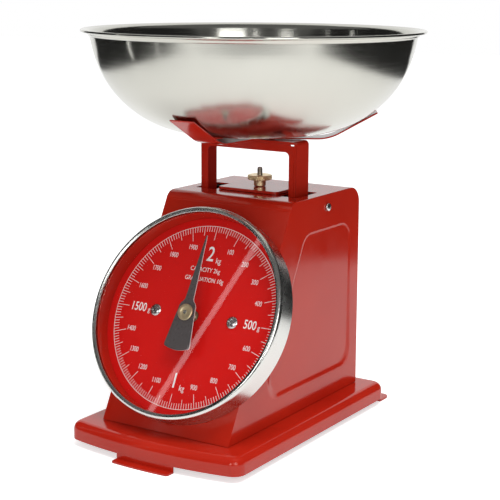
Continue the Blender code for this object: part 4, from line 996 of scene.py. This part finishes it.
def makeCradle():
    # a flat star whose three arms are bent up along the bowl
    size = cradleSize
    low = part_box("cradle")[0]
    sheet, half, rise = size["sheet"], size["armWidth"] / 2, radians(size["rise"])
    radius = size["bendRadius"]
    flatEnd = size["bendAt"] - radius * tan(rise / 2)
    crook = half / sin(radians(60))
    corners, radii = [], []
    for arm in armTurns:
        ahead, across = Vector((cos(arm), sin(arm))), Vector((-sin(arm), cos(arm)))
        corners += [tuple(ahead * flatEnd - across * half), tuple(ahead * flatEnd + across * half)]
        inner = arm + radians(60)
        corners.append((crook * cos(inner), crook * sin(inner)))
        radii += [0, 0, size["fillet"]]
    star = outlineSlab(rounded(corners, radii, 10), low[2], low[2] + sheet)
    openForEdit(star, "FACE")
    bpy.ops.mesh.dissolve_limited(angle_limit=flatEnough)
    arcEnd = size["bendAt"] + radius * tan(rise / 2) * cos(rise)
    slope = (size["reach"] - arcEnd) / cos(rise)
    armStart = flatEnd - 0.1 * mm
    for arm in armTurns:
        ahead = Vector((cos(arm), sin(arm), 0))
        hinge = ahead * flatEnd + Vector((0, 0, low[2] + sheet + radius))
        chooseFaces(star, lambda face: (
            face.normal.dot(ahead) > 0.99 and face.calc_center_median().dot(ahead) > armStart
        ))
        across = Vector((0, 0, 1)).cross(ahead)
        bpy.ops.mesh.spin(steps=10, angle=rise, center=hinge, axis=across)
        climb = ahead * cos(rise) + Vector((0, 0, sin(rise)))
        bpy.ops.mesh.extrude_region_move(TRANSFORM_OT_translate={"value": climb * slope})
    bpy.ops.object.mode_set(mode="OBJECT")
    facesOut(star)
    tipEdge = size["reach"] - 1.1 * sheet
    bevelEdges(
        star, size["tipRadius"], 5, lambda spot: hypot(spot.x, spot.y) > tipEdge and onArmSide(spot, half),
    )
    softEdges(star, 0.25 * mm, 2, 50)
    settle(star, Matrix.Translation((0, size["centre"], 0)))
    return finishPiece(star, "cradleStar", enamel, "carriage", ("cradle",), 30)


makeCradle()
print("yoke and cradle done")


tareSize = {
    "discLow": 166.5 * mm, "hubRadius": 4.2 * mm, "teeth": 44, "tooth": 0.4 * mm, "chamfer": 0.45 * mm,
    "core": 1.62 * mm, "threadWire": 0.56 * mm, "pitch": 0.7 * mm, "threadTurns": 22, "bore": 2.0 * mm,
}


def makeTareNut():
    # a knurled disc, chamfered on both faces, on a plain neck
    size = tareSize
    low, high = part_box("tare_nut")
    reach, middle = high[0], (low[1] + high[1]) / 2
    points = []
    for i in range(size["teeth"]):
        for part, depth in ((0.0, 1), (0.2, 0), (0.5, 0), (0.7, 1)):
            angle = 2 * pi * (i + part) / size["teeth"]
            radius = reach - depth * size["tooth"]
            points.append((radius * cos(angle), radius * sin(angle)))
    bottom, top, edge, hub = size["discLow"], high[2], size["chamfer"], size["hubRadius"]
    disc = outlineSlab(points, bottom, top)
    profile = [(0, bottom), (reach - edge, bottom), (reach, bottom + edge)]
    profile += [(reach, top - edge), (reach - edge, top), (0, top)]
    cut(disc, turnRing(profile, 96, closed=False), "INTERSECT")
    waist = hub - 0.3 * mm
    profile = [(0, low[2]), (hub - 0.4 * mm, low[2]), (hub, low[2] + 0.4 * mm), (hub, bottom - 0.5 * mm)]
    profile += [(waist, bottom - 0.3 * mm), (waist, bottom + 0.5 * mm), (0, bottom + 0.5 * mm)]
    cut(disc, turnRing(profile, 48, closed=False), "UNION")
    drill(disc, (0, 0, (low[2] + high[2]) / 2), size["bore"], 20 * mm)
    settle(disc, Matrix.Translation((0, middle, 0)))
    return finishPiece(disc, "tareWheel", brass, "tare_nut", ("tare_nut",), 30)


def makeTareRod():
    # a plain stud whose upper end is threaded
    size = tareSize
    low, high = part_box("tare_rod")
    core, outer, middle = size["core"], high[0], (low[1] + high[1]) / 2
    start = high[2] - 0.8 * mm - size["pitch"] * size["threadTurns"]
    soft, point = 0.3 * mm, 0.4 * mm
    profile = [(0, low[2]), (outer - soft, low[2]), (outer, low[2] + soft), (outer, start)]
    profile += [(core, start + soft), (core, high[2] - point), (core - point, high[2]), (0, high[2])]
    rod = turnRing(profile, 32, closed=False)
    wire = size["threadWire"]
    thread = helixTube(outer - wire / 2, wire, size["pitch"], size["threadTurns"], 16, 6)
    closeEnds(thread)
    settle(thread, Matrix.Translation((0, 0, start)))
    rod = joinPieces([rod, thread])
    settle(rod, Matrix.Translation((0, middle, 0)))
    return finishPiece(rod, "tareStud", studSteel, "tare_rod", ("tare_rod",), 30)


makeTareNut()
makeTareRod()
print("tare screw done")


def makeSideScrews():
    for side, label in ((-1, "left"), (1, "right")):
        low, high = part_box(f"side_screw_{label}")
        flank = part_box("housing_cover")[1][0]
        middle = (low + high) / 2
        centre = Vector((side * flank, middle[1], middle[2]))
        head = crossHeadScrew((high[2] - low[2]) / 2, 2.1 * mm, 5 * mm)
        settle(head, Matrix.Translation(centre) @ Matrix.Rotation(side * pi / 2, 4, "Y"))
        nodes = (f"side_screw_{label}",)
        finishPiece(head, f"sideScrew_{label}", screwSteel, "base", nodes, 30)


makeSideScrews()


springSize = {"radius": 5.5 * mm, "wire": 1.4 * mm, "lowerTurns": 14, "upperTurns": 4.5}


def makeCoil(name, turns, pitch, spots):
    # spots are the wire's lower and upper ends on the axis
    lower, upper = spots
    coil = helixTube(springSize["radius"], springSize["wire"], pitch, turns, 26, 12)
    closeEnds(coil)
    settle(coil, Matrix.Translation(lower))
    finishPiece(coil, name, springSteel, None, ("main_spring",), 60)
    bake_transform(coil)


def makeSpring():
    # hung between two plugs and drawn as two coils, left unattached: on the real spring the lower turns
    # stretch under load and the upper ones follow the tare rod
    size = springSize
    low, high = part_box("main_spring")
    middle = (low[1] + high[1]) / 2
    foot, head = low[2] + size["wire"] / 2, high[2] - size["wire"] / 2
    pitch = (head - foot) / (size["lowerTurns"] + size["upperTurns"])
    join = foot + size["lowerTurns"] * pitch
    below, between, above = [Vector((0, middle, height)) for height in (foot, join, head)]
    makeCoil("mainSpring", size["lowerTurns"], pitch, (below, between))
    makeCoil("mainSpringUpper", size["upperTurns"], pitch, (between, above))


makeSpring()
print("screws and spring done")


cameraSetup = {
    "place": (0.4878, -0.7563, 0.3060), "azimuth": 32.65, "down": 11.693, "roll": 0.336, "lens": 96.84,
}
studio = {
    "world": 0.5, "paper": 0.93, "paperGlow": 0.3, "room": 0.020, "roomNear": 0.06, "ceiling": 0.14,
    "key": 16.0, "fill": 3.6,
}
# the white paper and the room, in metres as seen from the camera
paper = {
    "left": -0.56, "right": 0.50, "near": -0.64, "far": 1.30, "sweepLeft": -0.95, "sweepRight": 0.85,
    "roomSize": 3.0, "roomHeight": 2.6, "sweepHeight": 1.1,
}


def buildCamera():
    data = bpy.data.cameras.new("camera")
    data.lens = cameraSetup["lens"]
    data.sensor_width = 36
    cam = bpy.data.objects.new("camera", data)
    scene.collection.objects.link(cam)
    turn = Matrix.Rotation(radians(cameraSetup["azimuth"]), 4, "Z")
    tip = Matrix.Rotation(radians(90 - cameraSetup["down"]), 4, "X")
    lean = Matrix.Rotation(radians(cameraSetup["roll"]), 4, "Z")
    cam.matrix_world = Matrix.Translation(cameraSetup["place"]) @ turn @ tip @ lean
    scene.camera = cam


def seenDirectly(tree):
    # 1 for rays from the camera, mirrors and glass, which all see the plain white surround
    path = addNode(tree, "ShaderNodeLightPath")
    first = addNode(tree, "ShaderNodeMath", operation="MAXIMUM")
    second = addNode(tree, "ShaderNodeMath", operation="MAXIMUM")
    feed(first, 0, path.outputs["Is Camera Ray"])
    feed(first, 1, path.outputs["Is Glossy Ray"])
    feed(second, 0, first.outputs[0])
    feed(second, 1, path.outputs["Is Transmission Ray"])
    return second.outputs[0]


def buildWorld():
    world = bpy.data.worlds.new("studio")
    world.use_nodes = True
    scene.world = world
    tree = world.node_tree
    background = tree.nodes["Background"]
    background.inputs["Color"].default_value = (1, 1, 1, 1)
    level = spread(tree, seenDirectly(tree), 0, 1, studio["world"], 1)
    feed(background, "Strength", level)


def addLamp(name, place, target, size, power):
    data = bpy.data.lights.new(name, "AREA")
    data.shape = "RECTANGLE"
    data.size, data.size_y = size
    data.energy = power
    lamp = bpy.data.objects.new(name, data)
    scene.collection.objects.link(lamp)
    aim = Vector(target) - Vector(place)
    lamp.matrix_world = Matrix.Translation(place) @ aim.to_track_quat("-Z", "Y").to_matrix().to_4x4()
    lamp.visible_glossy = False
    lamp.visible_transmission = False
    return lamp


def buildFloor():
    # white paper: its glow lifts it to white to the eye and in mirrors, and the shadow stays on it
    bpy.ops.mesh.primitive_plane_add(size=8, location=(0, 0, 0))
    floor = bpy.context.object
    floor.name = "studioFloor"
    colours = {"Base_Color": (studio["paper"],) * 3 + (1,), "Emission_Color": (1, 1, 1, 1)}
    mat, tree, shader = newMaterial("paperWhite", Roughness=0.9, **colours)
    glow = spread(tree, seenDirectly(tree), 0, 1, 0, studio["paperGlow"])
    path = addNode(tree, "ShaderNodeLightPath")
    lift = addNode(tree, "ShaderNodeMath", operation="MULTIPLY_ADD")
    lift.inputs[1].default_value = studio["paperGlow"]
    feed(lift, 0, path.outputs["Is Camera Ray"])
    feed(lift, 2, glow)
    feed(shader, "Emission Strength", lift.outputs[0])
    floor.data.materials.append(mat)


def addCard(name, place, size, turn, level):
    # a card that only mirrors and glass see; place and turn are given as seen from the camera
    bpy.ops.object.select_all(action="DESELECT")
    bpy.ops.mesh.primitive_plane_add(size=1, location=(0, 0, 0))
    card = bpy.context.object
    card.name = name
    card.scale = (size[0], size[1], 1)
    card.rotation_euler = [radians(a) for a in turn]
    card.location = place
    settle(card, Matrix.Rotation(radians(cameraSetup["azimuth"]), 4, "Z"))
    glow = {"Emission_Color": (1, 1, 1, 1), "Emission_Strength": level}
    card.data.materials.append(newMaterial(name, Base_Color=(0, 0, 0, 1), Specular_IOR_Level=0, **glow)[0])
    card.visible_camera = False
    card.visible_diffuse = False
    card.visible_shadow = False


def addStrip(name, low, high, width, level):
    # a narrow light between two points, turned towards the scale
    low, high = Vector(low), Vector(high)
    along = (high - low).normalized()
    middle = (low + high) / 2
    across = along.cross(-middle).normalized()
    frontal = across.cross(along)
    turn = Matrix((across, along, frontal)).transposed().to_euler()
    addCard(name, middle, (width, (high - low).length), [degrees(a) for a in turn], level)


def buildRoom():
    # the unlit room round the paper
    size, height, level = paper["roomSize"], paper["roomHeight"], studio["room"]
    left, right, near, far = paper["left"], paper["right"], paper["near"], paper["far"]
    lift = 2 * mm  # the dark floor lies just over the paper
    middle, deep = (far - size) / 2, far + size
    lying, standing, sideways = (0, 0, 0), (90, 0, 0), (0, 90, 0)
    for name, edge, side in (("Left", left, -1), ("Right", right, 1)):
        across, width = (edge + side * size) / 2, size - side * edge
        addCard(f"room{name}Floor", (across, middle, lift), (width, deep), lying, level)
        addCard(f"room{name}", (side * size, middle, height / 2), (height, deep), sideways, level)
    nearMiddle = ((left + right) / 2, (near - size) / 2, lift)
    addCard("roomNearFloor", nearMiddle, (right - left, size + near), lying, level)
    addCard("roomNear", (0, -size, height / 2), (2 * size, height), standing, studio["roomNear"])
    addCard("roomCeiling", (0, middle, height), (2 * size, deep), lying, studio["ceiling"])
    first, last, tall = paper["sweepLeft"], paper["sweepRight"], paper["sweepHeight"]
    for name, edge, side in (("Left", first, -1), ("Right", last, 1)):
        across, width = (edge + side * size) / 2, size - side * edge
        addCard(f"roomFar{name}", (across, far, height / 2), (width, height), standing, level)
    sweepMiddle = ((first + last) / 2, far - 5 * mm, tall / 2)
    addCard("backdropWhite", sweepMiddle, (last - first, tall), standing, 1)


def buildStrips():
    # windows behind the camera and the lit edges of the stand at the left
    addCard("windowRight", (0.64, -2.0, 0.93), (0.78, 1.2), (90, 0, 20), 5.0)
    addCard("windowLeft", (-0.95, -1.9, 0.8), (0.34, 0.95), (90, 0, -27), 6.0)
    addCard("windowEdge", (-0.06, -2.0, 0.9), (0.07, 0.9), (90, 0, 0), 6.0)
    addStrip("standEdge", (-0.569, -0.250, 0.0), (-0.569, -0.250, 0.72), 0.0062, 2.0)
    addStrip("standEdgeFar", (-0.577, 0.003, 0.04), (-0.577, 0.003, 0.6), 0.009, 3.0)


scene.view_settings.view_transform = "Standard"
bpy.ops.object.select_all(action="DESELECT")
buildCamera()
buildWorld()
buildFloor()
buildRoom()
buildStrips()
addLamp("keyLight", (0.5, -0.2, 1.52), (0, 0, 0.05), (0.9, 0.9), studio["key"])
addLamp("fillLight", (0.5, -1.6, 0.5), (0, 0, 0.05), (0.9, 0.7), studio["fill"])
print("studio ready")
